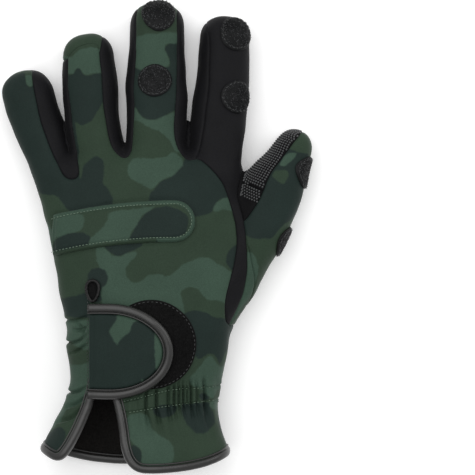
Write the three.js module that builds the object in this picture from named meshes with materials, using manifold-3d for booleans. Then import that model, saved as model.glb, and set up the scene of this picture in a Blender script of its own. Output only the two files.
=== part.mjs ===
// A left-hand fishing glove with fold-back fingertips, lying on its palm as if a hand filled it.
// Millimetres. X points to the thumb, Y to the fingertips, Z out of the back of the hand.
// The origin is on the flat underside, below the middle of the palm.

import * as THREE from 'three'
import Module from 'manifold-3d'

const wasm = await Module()
wasm.setup()

// Driving dimensions

const PALM_LENGTH = 170
const PALM_WIDTH = 100
const PALM_HEIGHT = 40
const HEM_TO_ORIGIN = 122
const HEM_RISE = 9
const WALL = 2.8
const SOLE_FLAT = 1.5
const SIDE_SEAM_HEIGHT = 7.5
const SEAM_GAP = 0.3

const PINKY_LENGTH = 70.5
const PINKY_WIDTH = 28
const PINKY_HEIGHT = 24
const RING_LENGTH = 82
const RING_WIDTH = 28
const RING_HEIGHT = 26
const MIDDLE_LENGTH = 98
const MIDDLE_WIDTH = 32
const MIDDLE_HEIGHT = 27
const INDEX_LENGTH = 93.5
const INDEX_WIDTH = 28
const INDEX_HEIGHT = 26
const THUMB_LENGTH = 119.5
const THUMB_WIDTH = 32
const THUMB_HEIGHT = 28

const BINDING_WIDTH = 5.3
const BINDING_RAISE = 1.1
const SLIT_FLOOR = 18
const SHOULDER_HEIGHT = 12.5

const KNUCKLE_STRIP_WIDTH = 22
const KNUCKLE_STRIP_THICKNESS = 2

const STRAP_LENGTH = 43.5
const STRAP_WIDTH = 50.5
const STRAP_THICKNESS = 2.4
const PAD_DIAMETER = 47
const PAD_THICKNESS = 1.2
const DOT_DIAMETER = 17.6
const DOT_THICKNESS = 1.2
const LOOP_LENGTH = 12.5
const LOOP_WIDTH = 9.5
const LOOP_CORD = 1.7

// Each tube is a row of rounded sections along a straight axis on the floor. Its tables are shares:
// along of the length from the root, left and right of the width from the axis, top of the height.
// Past capFrom the tube closes in a rounded end. rootX and rootY are shares of the palm.

const PALM = {
  rootX: 0,
  rootY: 0,
  lean: 0,
  roll: 0,
  length: PALM_LENGTH,
  width: PALM_WIDTH,
  height: PALM_HEIGHT,
  sides: 24,
  power: 2.7,
  capFrom: 0.92,
  rows: [
    { along: -0.08, left: 0.535, right: 0.475, top: 1.12 },
    { along: 0.06, left: 0.535, right: 0.48, top: 1.13 },
    { along: 0.115, left: 0.485, right: 0.44, top: 1.07 },
    { along: 0.17, left: 0.42, right: 0.42, top: 0.97 },
    { along: 0.25, left: 0.368, right: 0.417, top: 0.93 },
    { along: 0.31, left: 0.37, right: 0.45, top: 0.96 },
    { along: 0.38, left: 0.387, right: 0.47, top: 0.98 },
    { along: 0.52, left: 0.415, right: 0.505, top: 1 },
    { along: 0.6, left: 0.441, right: 0.515, top: 0.99 },
    { along: 0.69, left: 0.473, right: 0.52, top: 0.96 },
    { along: 0.79, left: 0.496, right: 0.525, top: 0.91 },
    { along: 0.92, left: 0.515, right: 0.515, top: 0.8 },
  ],
}

const PINKY = {
  rootX: -0.403,
  rootY: 0.861,
  lean: -16.9,
  roll: -16,
  length: PINKY_LENGTH,
  width: PINKY_WIDTH,
  height: PINKY_HEIGHT,
  sides: 16,
  power: 2.4,
  capFrom: 0.8,
  rows: [
    { along: -0.25, left: 0.38, right: 0.35, top: 1 },
    { along: 0, left: 0.46, right: 0.35, top: 1.13 },
    { along: 0.22, left: 0.48, right: 0.36, top: 1.06 },
    { along: 0.42, left: 0.53, right: 0.36, top: 1 },
    { along: 0.62, left: 0.65, right: 0.36, top: 1 },
    { along: 0.8, left: 0.63, right: 0.33, top: 0.97 },
  ],
}

const RING = {
  rootX: -0.202,
  rootY: 0.892,
  lean: -5.6,
  roll: -8,
  length: RING_LENGTH,
  width: RING_WIDTH,
  height: RING_HEIGHT,
  sides: 16,
  power: 2.4,
  capFrom: 0.84,
  rows: [
    { along: -0.25, left: 0.44, right: 0.44, top: 1.08 },
    { along: 0, left: 0.46, right: 0.46, top: 1.19 },
    { along: 0.2, left: 0.54, right: 0.49, top: 1.12 },
    { along: 0.44, left: 0.62, right: 0.43, top: 1.04 },
    { along: 0.66, left: 0.59, right: 0.45, top: 1 },
    { along: 0.84, left: 0.52, right: 0.45, top: 0.97 },
  ],
}

const MIDDLE = {
  rootX: 0.088,
  rootY: 0.892,
  lean: 0.9,
  roll: 0,
  length: MIDDLE_LENGTH,
  width: MIDDLE_WIDTH,
  height: MIDDLE_HEIGHT,
  sides: 16,
  power: 2.4,
  capFrom: 0.86,
  rows: [
    { along: -0.22, left: 0.46, right: 0.48, top: 1.14 },
    { along: 0, left: 0.49, right: 0.52, top: 1.22 },
    { along: 0.2, left: 0.53, right: 0.51, top: 1.14 },
    { along: 0.42, left: 0.54, right: 0.49, top: 1.05 },
    { along: 0.62, left: 0.55, right: 0.46, top: 1 },
    { along: 0.86, left: 0.48, right: 0.42, top: 0.98 },
  ],
}

const INDEX = {
  rootX: 0.395,
  rootY: 0.876,
  lean: 2.6,
  roll: 18,
  length: INDEX_LENGTH,
  width: INDEX_WIDTH,
  height: INDEX_HEIGHT,
  sides: 16,
  power: 2.4,
  capFrom: 0.86,
  rows: [
    { along: -0.22, left: 0.44, right: 0.4, top: 1.08 },
    { along: 0, left: 0.5, right: 0.43, top: 1.18 },
    { along: 0.2, left: 0.55, right: 0.47, top: 1.12 },
    { along: 0.4, left: 0.52, right: 0.55, top: 1.04 },
    { along: 0.62, left: 0.42, right: 0.58, top: 1 },
    { along: 0.86, left: 0.4, right: 0.54, top: 0.98 },
  ],
}

const THUMB = {
  rootX: 0.395,
  rootY: 0.417,
  lean: 23.6,
  roll: 8,
  length: THUMB_LENGTH,
  width: THUMB_WIDTH,
  height: THUMB_HEIGHT,
  sides: 16,
  power: 2.3,
  capFrom: 0.88,
  rows: [
    { along: 0.02, left: 0.3, right: 0.19, top: 0.75 },
    { along: 0.1, left: 0.4, right: 0.25, top: 0.92 },
    { along: 0.2, left: 0.5, right: 0.34, top: 1.04 },
    { along: 0.34, left: 0.58, right: 0.38, top: 1.12 },
    { along: 0.47, left: 0.58, right: 0.42, top: 1.1 },
    { along: 0.6, left: 0.57, right: 0.44, top: 1.04 },
    { along: 0.7, left: 0.6, right: 0.44, top: 1 },
    { along: 0.79, left: 0.5, right: 0.38, top: 0.94 },
    { along: 0.88, left: 0.34, right: 0.3, top: 0.82 },
  ],
}

const DIGITS = [PINKY, RING, MIDDLE, INDEX, THUMB]
const CAP_RINGS = [0.45, 0.75, 0.93]
const CAP_POWER = 2.3
const LINING_SHARE = 0.75
const REACH = 400

const radians = THREE.MathUtils.degToRad

// Places in plan: shares of the palm, or shares along and across a digit's own axis

function onPalm(across, along) {
  return new THREE.Vector2(across * PALM_WIDTH, along * PALM_LENGTH - HEM_TO_ORIGIN)
}

function frameOf(tube) {
  const root = onPalm(tube.rootX, tube.rootY)
  const lean = radians(tube.lean)
  const ahead = new THREE.Vector2(Math.sin(lean), Math.cos(lean))
  const aside = new THREE.Vector2(ahead.y, -ahead.x)
  return { root, ahead, aside }
}

function onDigit(tube, along, across) {
  const { root, ahead, aside } = frameOf(tube)
  return root.clone()
    .addScaledVector(ahead, along * tube.length)
    .addScaledVector(aside, across * tube.width)
}

// Closed meshes as solids

function solidFrom(vertices, triangles) {
  const mesh = new wasm.Mesh({
    numProp: 3,
    vertProperties: Float32Array.from(vertices.flatMap((v) => [v.x, v.y, v.z])),
    triVerts: Uint32Array.from(triangles.flat()),
  })
  return new wasm.Manifold(mesh)
}

// A skin through rings of points, all with the same count; the ends close in a point each
function loft(rings, startPoint, endPoint) {
  const count = rings[0].length
  const vertices = [...rings.flat(), startPoint, endPoint]
  const start = vertices.length - 2
  const end = vertices.length - 1
  const triangles = []
  for (let i = 0; i < count; i++) {
    const j = (i + 1) % count
    triangles.push([start, j, i])
    for (let r = 0; r + 1 < rings.length; r++) {
      const low = r * count
      const high = low + count
      triangles.push([low + i, low + j, high + j], [low + i, high + j, high + i])
    }
    const last = (rings.length - 1) * count
    triangles.push([end, last + i, last + j])
  }
  const solid = solidFrom(vertices, triangles)
  return solid.volume() > 0 ? solid : solidFrom(vertices, triangles.map(([a, b, c]) => [a, c, b]))
}

function middleOf(ring) {
  const sum = new THREE.Vector3()
  ring.forEach((point) => sum.add(point))
  return sum.divideScalar(ring.length)
}

// One rounded section of a tube; lift moves it outwards, shrink narrows it inside the end cap
function section(tube, row, alongMm, lift, shrink, sides) {
  const { root, ahead, aside } = frameOf(tube)
  const halfWidth = ((row.left + row.right) / 2) * tube.width
  const middle = ((row.right - row.left) / 2) * tube.width
  const top = row.top * tube.height
  const halfHeight = (top + SOLE_FLAT) / 2
  const centreZ = (top - SOLE_FLAT) / 2
  const roll = radians(tube.roll)
  const ring = []
  for (let i = 0; i < sides; i++) {
    const angle = ((i + 0.5) / sides) * 2 * Math.PI
    const c = Math.cos(angle)
    const s = Math.sin(angle)
    const u = (halfWidth + lift) * shrink * Math.sign(c) * Math.abs(c) ** (2 / tube.power)
    const v = (halfHeight + lift) * shrink * Math.sign(s) * Math.abs(s) ** (2 / tube.power)
    const across = middle + u * Math.cos(roll) + v * Math.sin(roll)
    const up = centreZ + v * Math.cos(roll) - u * Math.sin(roll)
    const plan = root.clone().addScaledVector(ahead, alongMm).addScaledVector(aside, across)
    ring.push(new THREE.Vector3(plan.x, plan.y, up))
  }
  return ring
}

// The whole tube, its skin moved outwards by lift
function tubeSolid(tube, lift, sides = tube.sides) {
  const rings = tube.rows.map((row) => section(tube, row, row.along * tube.length, lift, 1, sides))
  const lastRow = tube.rows[tube.rows.length - 1]
  const capLength = (1 - tube.capFrom) * tube.length + lift
  for (const share of CAP_RINGS) {
    const shrink = (1 - share ** CAP_POWER) ** (1 / CAP_POWER)
    const alongMm = tube.capFrom * tube.length + share * capLength
    rings.push(section(tube, lastRow, alongMm, lift, shrink, sides))
  }
  const tipRing = section(tube, lastRow, tube.capFrom * tube.length + capLength, lift, 0, sides)
  return loft(rings, middleOf(rings[0]), tipRing[0])
}

function unionOf(solids) {
  return solids.reduce((all, solid) => all.add(solid))
}

// A plan outline as a solid from one height to another; the two outlines may differ, for a leaning wall
function prism(outline, bottom = -REACH, top = REACH, topOutline = outline) {
  const count = outline.length
  const sum = outline.reduce((area, p, i) => {
    const q = outline[(i + 1) % count]
    return area + p.x * q.y - q.x * p.y
  }, 0)
  const lower = sum > 0 ? outline : [...outline].reverse()
  const upper = sum > 0 ? topOutline : [...topOutline].reverse()
  const vertices = [
    ...lower.map((p) => new THREE.Vector3(p.x, p.y, bottom)),
    ...upper.map((p) => new THREE.Vector3(p.x, p.y, top)),
  ]
  const triangles = []
  for (const [a, b, c] of THREE.ShapeUtils.triangulateShape(lower, [])) {
    triangles.push([a, c, b])
  }
  for (const [a, b, c] of THREE.ShapeUtils.triangulateShape(upper, [])) {
    triangles.push([a + count, b + count, c + count])
  }
  for (let i = 0; i < count; i++) {
    const j = (i + 1) % count
    triangles.push([i, j, j + count], [i, j + count, i + count])
  }
  return solidFrom(vertices, triangles)
}

// The outline moved outwards by a distance, inwards if it is negative
function grown(outline, distance) {
  const count = outline.length
  const area = outline.reduce((sum, p, i) => {
    const q = outline[(i + 1) % count]
    return sum + p.x * q.y - q.x * p.y
  }, 0)
  const turn = Math.sign(area)
  return outline.map((point, i) => {
    const before = outline[(i + count - 1) % count]
    const after = outline[(i + 1) % count]
    const first = point.clone().sub(before).normalize()
    const second = after.clone().sub(point).normalize()
    const normal = new THREE.Vector2(first.y + second.y, -first.x - second.x).normalize()
    const straight = Math.max(0.5, Math.sqrt((1 + first.dot(second)) / 2))
    return point.clone().addScaledVector(normal, (turn * distance) / straight)
  })
}

function slabBetween(bottom, top) {
  const square = [
    new THREE.Vector2(-REACH, -REACH),
    new THREE.Vector2(REACH, -REACH),
    new THREE.Vector2(REACH, REACH),
    new THREE.Vector2(-REACH, REACH),
  ]
  return prism(square, bottom, top)
}

// The glove's skin moved outwards by lift, all its tubes in one
function bodyAt(lift) {
  return unionOf([PALM, ...DIGITS].map((tube) => tubeSolid(tube, lift)))
}

// The hollow inside, with fewer faces than the skin
function hollow() {
  const tubes = [PALM, ...DIGITS].map((tube) => tubeSolid(tube, -WALL, tube.sides * LINING_SHARE))
  return unionOf(tubes).intersect(slabBetween(WALL, REACH))
}

const outside = bodyAt(0).intersect(slabBetween(0, REACH))
const shell = outside.subtract(hollow())
const clearSkin = bodyAt(SEAM_GAP)

// The hem rises towards both sides; the wall above it starts past the binding
const HEM_REACH = 0.8
const HEM_STEPS = 16

function hemLine(inset) {
  const points = []
  for (let i = 0; i <= HEM_STEPS; i++) {
    const across = HEM_REACH * ((2 * i) / HEM_STEPS - 1)
    const rise = HEM_RISE * Math.abs(2 * across) ** 3
    const point = onPalm(across, 0)
    point.y += rise + inset
    points.push(point)
  }
  return points
}

function aboveHem(inset) {
  const corners = [new THREE.Vector2(REACH, REACH), new THREE.Vector2(-REACH, REACH)]
  return prism([...hemLine(inset), ...corners])
}

// The slit in the cuff's back, from under the strap to the hem, where its corners are round
const SLIT = [
  onPalm(-0.64, -0.06),
  onPalm(-0.5, 0.03),
  onPalm(-0.44, 0.02),
  onPalm(-0.395, 0.035),
  onPalm(-0.345, 0.08),
  onPalm(-0.29, 0.143),
  onPalm(-0.25, 0.19),
  onPalm(-0.225, 0.24),
  onPalm(-0.21, 0.29),
  onPalm(-0.19, 0.31),
  onPalm(-0.165, 0.29),
  onPalm(-0.145, 0.24),
  onPalm(-0.12, 0.19),
  onPalm(-0.102, 0.143),
  onPalm(-0.092, 0.09),
  onPalm(-0.07, 0.04),
  onPalm(-0.035, 0.014),
  onPalm(0.02, -0.01),
  onPalm(0.1, -0.06),
]
const slit = prism(SLIT, SLIT_FLOOR)
const slitWithBinding = prism(grown(SLIT, BINDING_WIDTH), SLIT_FLOOR)
const slitWithGap = prism(grown(SLIT, BINDING_WIDTH + SEAM_GAP), SLIT_FLOOR)
const cloth = shell.intersect(aboveHem(BINDING_WIDTH + SEAM_GAP)).subtract(slitWithGap)

// Halves below and above the side seam, with the seam's gap between them
const lowSide = slabBetween(-REACH, SIDE_SEAM_HEIGHT - SEAM_GAP / 2)
const highSide = slabBetween(SIDE_SEAM_HEIGHT + SEAM_GAP / 2, REACH)
const upward = slabBetween(SIDE_SEAM_HEIGHT - SEAM_GAP / 2, REACH)

// Seams of the back panel: up and down each finger, then along the thumb's side to the wrist
const BACK_OUTLINE = [
  onPalm(-0.8, -0.2),
  onPalm(-0.9, 0.84),
  onDigit(PINKY, 0.5, -1.1),
  onDigit(PINKY, 1.15, -0.8),
  onDigit(PINKY, 1.15, 0.1),
  onDigit(PINKY, 0.98, 0.075),
  onDigit(PINKY, 0.8, 0.03),
  onDigit(PINKY, 0.585, -0.03),
  onDigit(PINKY, 0.34, 0.01),
  onDigit(PINKY, 0.11, 0.11),
  onPalm(-0.352, 0.9),
  onDigit(RING, 0.05, -0.365),
  onDigit(RING, 0.15, -0.4),
  onDigit(RING, 0.37, -0.465),
  onDigit(RING, 0.69, -0.47),
  onDigit(RING, 0.85, -0.42),
  onDigit(RING, 0.905, -0.24),
  onDigit(RING, 0.925, -0.02),
  onDigit(RING, 0.92, 0.22),
  onDigit(RING, 0.54, 0.195),
  onDigit(RING, 0.32, 0.22),
  onDigit(RING, 0.21, 0.29),
  onPalm(-0.08, 0.965),
  onDigit(MIDDLE, 0.15, -0.42),
  onDigit(MIDDLE, 0.34, -0.4),
  onDigit(MIDDLE, 0.7, -0.4),
  onDigit(MIDDLE, 0.9, -0.38),
  onDigit(MIDDLE, 1.1, -0.3),
  onDigit(MIDDLE, 1.1, 0.3),
  onDigit(MIDDLE, 0.91, 0.31),
  onDigit(MIDDLE, 0.7, 0.34),
  onDigit(MIDDLE, 0.375, 0.3),
  onDigit(MIDDLE, 0.23, 0.32),
  onPalm(0.258, 0.956),
  onPalm(0.307, 0.978),
  onPalm(0.387, 0.937),
  onPalm(0.45, 0.89),
  onPalm(0.483, 0.843),
  onPalm(0.51, 0.78),
  onPalm(0.52, 0.7),
  onPalm(0.502, 0.633),
  onPalm(0.475, 0.58),
  onPalm(0.458, 0.51),
  onPalm(0.466, 0.45),
  onPalm(0.9, 0.4),
  onPalm(0.9, -0.2),
]

// The line between the forefinger's black side strip and the thumb
const THUMB_SEAM = [
  onPalm(0.524, 0.852),
  onPalm(0.555, 0.769),
  onPalm(0.571, 0.713),
  onPalm(0.575, 0.617),
  onPalm(0.56, 0.555),
  onPalm(0.53, 0.509),
  onPalm(0.475, 0.435),
]
const THUMB_SIDE = [
  ...THUMB_SEAM,
  onPalm(0.6, 0.36),
  onPalm(1.6, 0.4),
  onPalm(1.6, 1.8),
  onPalm(0.62, 1.8),
  onPalm(0.6, 1.1),
  onPalm(0.56, 0.97),
  onPalm(0.532, 0.9),
]

// The thumb's dotted grip: the seam leans from its top side to its underside
const GRIP_TOP = [
  onDigit(THUMB, 1.2, -0.02),
  onDigit(THUMB, 0.97, -0.06),
  onDigit(THUMB, 0.87, -0.17),
  onDigit(THUMB, 0.77, -0.24),
  onDigit(THUMB, 0.64, -0.2),
  onDigit(THUMB, 0.51, -0.29),
  onDigit(THUMB, 0.6, -0.56),
  onDigit(THUMB, 0.66, -0.9),
  onDigit(THUMB, 1.2, -0.9),
]
const GRIP_FOOT = [
  onDigit(THUMB, 1.2, 0.04),
  onDigit(THUMB, 0.97, 0.05),
  onDigit(THUMB, 0.87, 0.07),
  onDigit(THUMB, 0.77, 0.09),
  onDigit(THUMB, 0.64, 0.12),
  onDigit(THUMB, 0.51, 0.16),
  onDigit(THUMB, 0.6, -0.56),
  onDigit(THUMB, 0.66, -0.9),
  onDigit(THUMB, 1.2, -0.9),
]

// The grip patch on the ball of the thumb, joined to the thumb's underside
const THENAR = [
  onPalm(0.36, 0.774),
  onPalm(0.272, 0.778),
  onPalm(0.225, 0.767),
  onPalm(0.17, 0.728),
  onPalm(0.124, 0.68),
  onPalm(0.094, 0.628),
  onPalm(0.088, 0.572),
  onPalm(0.11, 0.517),
  onPalm(0.159, 0.464),
  onPalm(0.225, 0.426),
  onPalm(0.312, 0.398),
  onPalm(0.42, 0.385),
  onPalm(0.56, 0.39),
  onDigit(THUMB, 0.12, 0.22),
  onDigit(THUMB, 0.3, 0.16),
  onDigit(THUMB, 0.51, 0.16),
  onDigit(THUMB, 0.6, 0.1),
  onPalm(0.56, 0.88),
  onPalm(0.513, 0.8),
  onPalm(0.44, 0.78),
]

// The grip strip along the palm's outer side
const SIDE_GRIP = [
  onPalm(-0.08, -0.2),
  onPalm(-0.08, 0.8),
  onPalm(-0.12, 0.835),
  onPalm(-0.8, 0.835),
  onPalm(-0.8, -0.2),
]

function halvesOfGap(outline) {
  return {
    inner: prism(grown(outline, -SEAM_GAP / 2)),
    outer: prism(grown(outline, SEAM_GAP / 2)),
  }
}

// Below the fingers' shoulders the back panel keeps only the glove's outer side and the wrist
const OUTER_SIDE = [
  onPalm(-0.8, -0.2),
  onPalm(-0.9, 0.84),
  onDigit(PINKY, 0.5, -1.1),
  onDigit(PINKY, 1.15, -0.8),
  onDigit(PINKY, 1.15, 0),
  onDigit(PINKY, 0.5, -0.1),
  onPalm(-0.3, 0.8),
  onPalm(0, 0.5),
  onPalm(0.3, 0.45),
  onPalm(0.466, 0.45),
  onPalm(0.9, 0.4),
  onPalm(0.9, -0.2),
]

function backZone(growth) {
  return prism(grown(BACK_OUTLINE, growth), SHOULDER_HEIGHT - growth)
    .add(prism(grown(OUTER_SIDE, growth)))
}

const back = { inner: backZone(-SEAM_GAP / 2), outer: backZone(SEAM_GAP / 2) }
const thumb = halvesOfGap(THUMB_SIDE)
const thenar = halvesOfGap(THENAR)
const side = halvesOfGap(SIDE_GRIP)

function gripZone(growth) {
  return prism(grown(GRIP_FOOT, growth), -SOLE_FLAT, THUMB_HEIGHT * 1.2, grown(GRIP_TOP, growth))
}
const gripLeft = gripZone(-SEAM_GAP / 2)
const gripLeftWide = gripZone(SEAM_GAP / 2)

// Zones that part the black side walls from each other, along the fingers' own axes
const RING_LINE = [onDigit(RING, -0.6, -0.1), onDigit(RING, 1.4, -0.1)]
const MIDDLE_LINE = [onDigit(MIDDLE, -0.6, 0), onDigit(MIDDLE, 1.4, 0)]
const INDEX_LINE = [
  onPalm(0.24, 0.3),
  onPalm(0.24, 0.9),
  onDigit(INDEX, 0.176, -0.342),
  onDigit(INDEX, 0.35, -0.255),
  onDigit(INDEX, 0.556, -0.19),
  onDigit(INDEX, 0.848, -0.22),
  onDigit(INDEX, 0.974, -0.293),
  onDigit(INDEX, 1.15, -0.35),
]

function between(leftLine, rightLine) {
  return prism(grown([...leftLine, ...[...rightLine].reverse()], -SEAM_GAP / 2))
}

const LEFT_LINE = [onPalm(-1.2, 0.6), onPalm(-1.2, 1.8)]
const RIGHT_LINE = [onPalm(0.72, 0.3), onPalm(0.72, 1.8)]

// Fold-back caps start at a crosswise line on the palm side of a digit
function capZone(tube, from, inset) {
  return prism([
    onDigit(tube, from + inset / tube.length, -CAP_REACH),
    onDigit(tube, from + inset / tube.length, CAP_REACH),
    onDigit(tube, 1.2, CAP_REACH),
    onDigit(tube, 1.2, -CAP_REACH),
  ])
}
const CAP_REACH = 0.62
const CAP_LINE = { index: 0.6, middle: 0.62, thumb: 0.68 }

// A cut can leave crumbs beside a piece; the piece itself is the largest body
function largestOf(solid) {
  return solid.decompose().reduce((best, one) => (one.volume() > best.volume() ? one : best))
}

// Materials

const FINISH = {
  camouflage: { color: 0x35463a, roughness: 0.82 },
  neoprene: { color: 0x1c1d1f, roughness: 0.8 },
  grip: { color: 0x27282a, roughness: 0.6 },
  binding: { color: 0x2c2e2f, roughness: 0.5 },
  fastener: { color: 0x1a1a1b, roughness: 0.95 },
}

const glove = new THREE.Group()

function addPiece(name, solid, finish) {
  const body = largestOf(solid)
  const { vertProperties, triVerts } = body.getMesh()
  const geometry = new THREE.BufferGeometry()
  geometry.setAttribute('position', new THREE.Float32BufferAttribute(vertProperties, 3))
  geometry.setIndex(Array.from(triVerts))
  geometry.computeVertexNormals()
  const material = new THREE.MeshStandardMaterial({ ...FINISH[finish], metalness: 0 })
  const mesh = new THREE.Mesh(geometry, material)
  mesh.name = name
  glove.add(mesh)
}

// Panels of the palm side

function palmSide() {
  const low = cloth.intersect(lowSide)
  const indexCap = low.intersect(capZone(INDEX, CAP_LINE.index, SEAM_GAP / 2))
  const middleCap = low.intersect(capZone(MIDDLE, CAP_LINE.middle, SEAM_GAP / 2))
  const palm = low
    .subtract(capZone(INDEX, CAP_LINE.index, -SEAM_GAP / 2))
    .subtract(capZone(MIDDLE, CAP_LINE.middle, -SEAM_GAP / 2))
    .subtract(side.outer)
    .subtract(thenar.outer)
    .subtract(thumb.outer)
  addPiece('palm_panel', palm, 'neoprene')
  addPiece('index_tip_palm', indexCap, 'neoprene')
  addPiece('middle_tip_palm', middleCap, 'neoprene')
  addPiece('side_grip', low.intersect(side.inner), 'grip')
}

// Panels of the back: camouflage in the middle, black walls between the fingers

function backSide() {
  const high = cloth.intersect(highSide)
  addPiece('back_panel', high.intersect(back.inner), 'camouflage')
  const walls = high.subtract(back.outer).subtract(thumb.outer)
  addPiece('fourchette_pinky_ring', walls.intersect(between(LEFT_LINE, RING_LINE)), 'neoprene')
  addPiece('fourchette_ring_middle', walls.intersect(between(RING_LINE, MIDDLE_LINE)), 'neoprene')
  addPiece('fourchette_middle_index', walls.intersect(between(MIDDLE_LINE, INDEX_LINE)), 'neoprene')
  addPiece('index_back', walls.intersect(between(INDEX_LINE, RIGHT_LINE)), 'neoprene')
}

// The thumb: dotted grip inside, camouflage outside, and a camouflage wedge at its root

const GUSSET = [
  onPalm(0.55, 0.735),
  onPalm(0.585, 0.69),
  onPalm(0.602, 0.639),
  onPalm(0.618, 0.595),
  onPalm(0.615, 0.564),
  onPalm(0.588, 0.523),
  onPalm(0.53, 0.462),
  onPalm(0.44, 0.38),
  onPalm(0.3, 0.4),
  onPalm(0.3, 0.735),
]

function thumbSide() {
  const zone = cloth.intersect(thumb.inner).subtract(back.outer.intersect(upward))
  const patch = cloth.intersect(lowSide).intersect(thenar.inner)
  const grip = zone.intersect(gripLeft).add(patch)
  const gusset = halvesOfGap(GUSSET)
  const outer = zone.subtract(gripLeftWide).subtract(thenar.outer.subtract(highSide))
  addPiece('thumb_grip', grip.subtract(capZone(THUMB, CAP_LINE.thumb, -SEAM_GAP / 2)), 'grip')
  addPiece('thumb_tip_grip', grip.intersect(capZone(THUMB, CAP_LINE.thumb, SEAM_GAP / 2)), 'grip')
  addPiece('thumb_gusset', outer.intersect(gusset.inner).intersect(highSide), 'camouflage')
  addPiece('thumb_back', outer.subtract(gusset.outer), 'camouflage')
}

// Bound edge round the hem and round the slit: a thicker band over the wall's edge

function binding() {
  const fat = tubeSolid(PALM, BINDING_RAISE)
    .intersect(slabBetween(0, REACH))
    .subtract(tubeSolid(PALM, -WALL - BINDING_RAISE).intersect(slabBetween(WALL + BINDING_RAISE, REACH)))
  const field = aboveHem(BINDING_WIDTH).subtract(slitWithBinding)
  addPiece('cuff_binding', fat.intersect(aboveHem(0)).subtract(slit).subtract(field), 'binding')
}

// Flat pieces laid on the back follow its skin: a slice between two heights over it

function layer(bottom, top, outline) {
  return tubeSolid(PALM, top)
    .subtract(tubeSolid(PALM, bottom))
    .subtract(clearSkin)
    .intersect(prism(outline, SHOULDER_HEIGHT))
}

// The knuckle strip's middle line: level at its round end, dropping towards its sewn-in end
const STRIP_LEVEL = 0.776
const STRIP_DROP = 0.044
const STRIP_START = -0.455
const STRIP_END = 0.19

function knuckleOutline() {
  const half = KNUCKLE_STRIP_WIDTH / 2
  const middleLine = (across) => {
    const share = (STRIP_END - across) / (STRIP_END - STRIP_START)
    return onPalm(across, STRIP_LEVEL - STRIP_DROP * share ** 2)
  }
  const stations = [STRIP_START, -0.3, -0.15, 0, 0.1, STRIP_END]
  const top = stations.map((across) => middleLine(across).add(new THREE.Vector2(0, half)))
  const foot = stations.map((across) => middleLine(across).sub(new THREE.Vector2(0, half)))
  const centre = middleLine(STRIP_END)
  const round = [60, 30, 0, -30, -60].map((degrees) => new THREE.Vector2(
    centre.x + half * Math.cos(radians(degrees)),
    centre.y + half * Math.sin(radians(degrees)),
  ))
  return [...top, ...round, ...foot.reverse()]
}

// The strap: square where it is sewn on, half an ellipse at its free end
const STRAP_CORNER = onPalm(-0.25, 0.3735)
const STRAP_STRAIGHT = 10

function strapOutline(inset) {
  const half = STRAP_WIDTH / 2 - inset
  const reach = STRAP_LENGTH - STRAP_STRAIGHT - inset
  const centreX = STRAP_CORNER.x + STRAP_STRAIGHT
  const points = [new THREE.Vector2(STRAP_CORNER.x, STRAP_CORNER.y + half)]
  for (let degrees = 90; degrees >= -90; degrees -= 15) {
    points.push(new THREE.Vector2(
      centreX + reach * Math.cos(radians(degrees)),
      STRAP_CORNER.y + half * Math.sin(radians(degrees)),
    ))
  }
  points.push(new THREE.Vector2(STRAP_CORNER.x, STRAP_CORNER.y - half))
  return points
}

function circleAt(centre, radius, sides) {
  const points = []
  for (let i = 0; i < sides; i++) {
    const angle = (i / sides) * 2 * Math.PI
    points.push(new THREE.Vector2(centre.x + radius * Math.cos(angle), centre.y + radius * Math.sin(angle)))
  }
  return points
}

const PAD_LIFT = SEAM_GAP
const PAD_CENTRE = onPalm(0.07, 0.395)
const PAD_SIDES = 28
const STRAP_LIFT = PAD_LIFT + PAD_THICKNESS + SEAM_GAP

function cuffPieces() {
  const strapTop = STRAP_LIFT + STRAP_THICKNESS
  const field = prism(strapOutline(BINDING_WIDTH))
  const circle = circleAt(PAD_CENTRE, PAD_DIAMETER / 2, PAD_SIDES)
  const pad = layer(PAD_LIFT, PAD_LIFT + PAD_THICKNESS, circle)
  const strap = layer(STRAP_LIFT, strapTop, strapOutline(BINDING_WIDTH + SEAM_GAP))
  const rim = layer(STRAP_LIFT, strapTop + BINDING_RAISE, strapOutline(0)).subtract(field)
  addPiece('loop_pad', pad, 'fastener')
  addPiece('strap', strap, 'camouflage')
  addPiece('strap_binding', rim, 'binding')
}

// The pull loop stands up at the strap's upper corner: a round cord in a drop shape on the skin

function skinHeight(x, y) {
  const along = (y + HEM_TO_ORIGIN) / PALM_LENGTH
  const after = PALM.rows.findIndex((row) => row.along > along)
  const low = PALM.rows[after - 1]
  const high = PALM.rows[after]
  const share = (along - low.along) / (high.along - low.along)
  const mix = (name) => low[name] + share * (high[name] - low[name])
  const halfWidth = ((mix('left') + mix('right')) / 2) * PALM_WIDTH
  const middle = ((mix('right') - mix('left')) / 2) * PALM_WIDTH
  const top = mix('top') * PALM_HEIGHT
  const share2 = Math.min(1, Math.abs(x - middle) / halfWidth)
  const rise = (1 - share2 ** PALM.power) ** (1 / PALM.power)
  return (top - SOLE_FLAT) / 2 + ((top + SOLE_FLAT) / 2) * rise
}

// The drop is narrower at its foot than at its top
const LOOP_FOOT_SHARE = 0.6
const LOOP_ACROSS = -0.235

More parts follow.
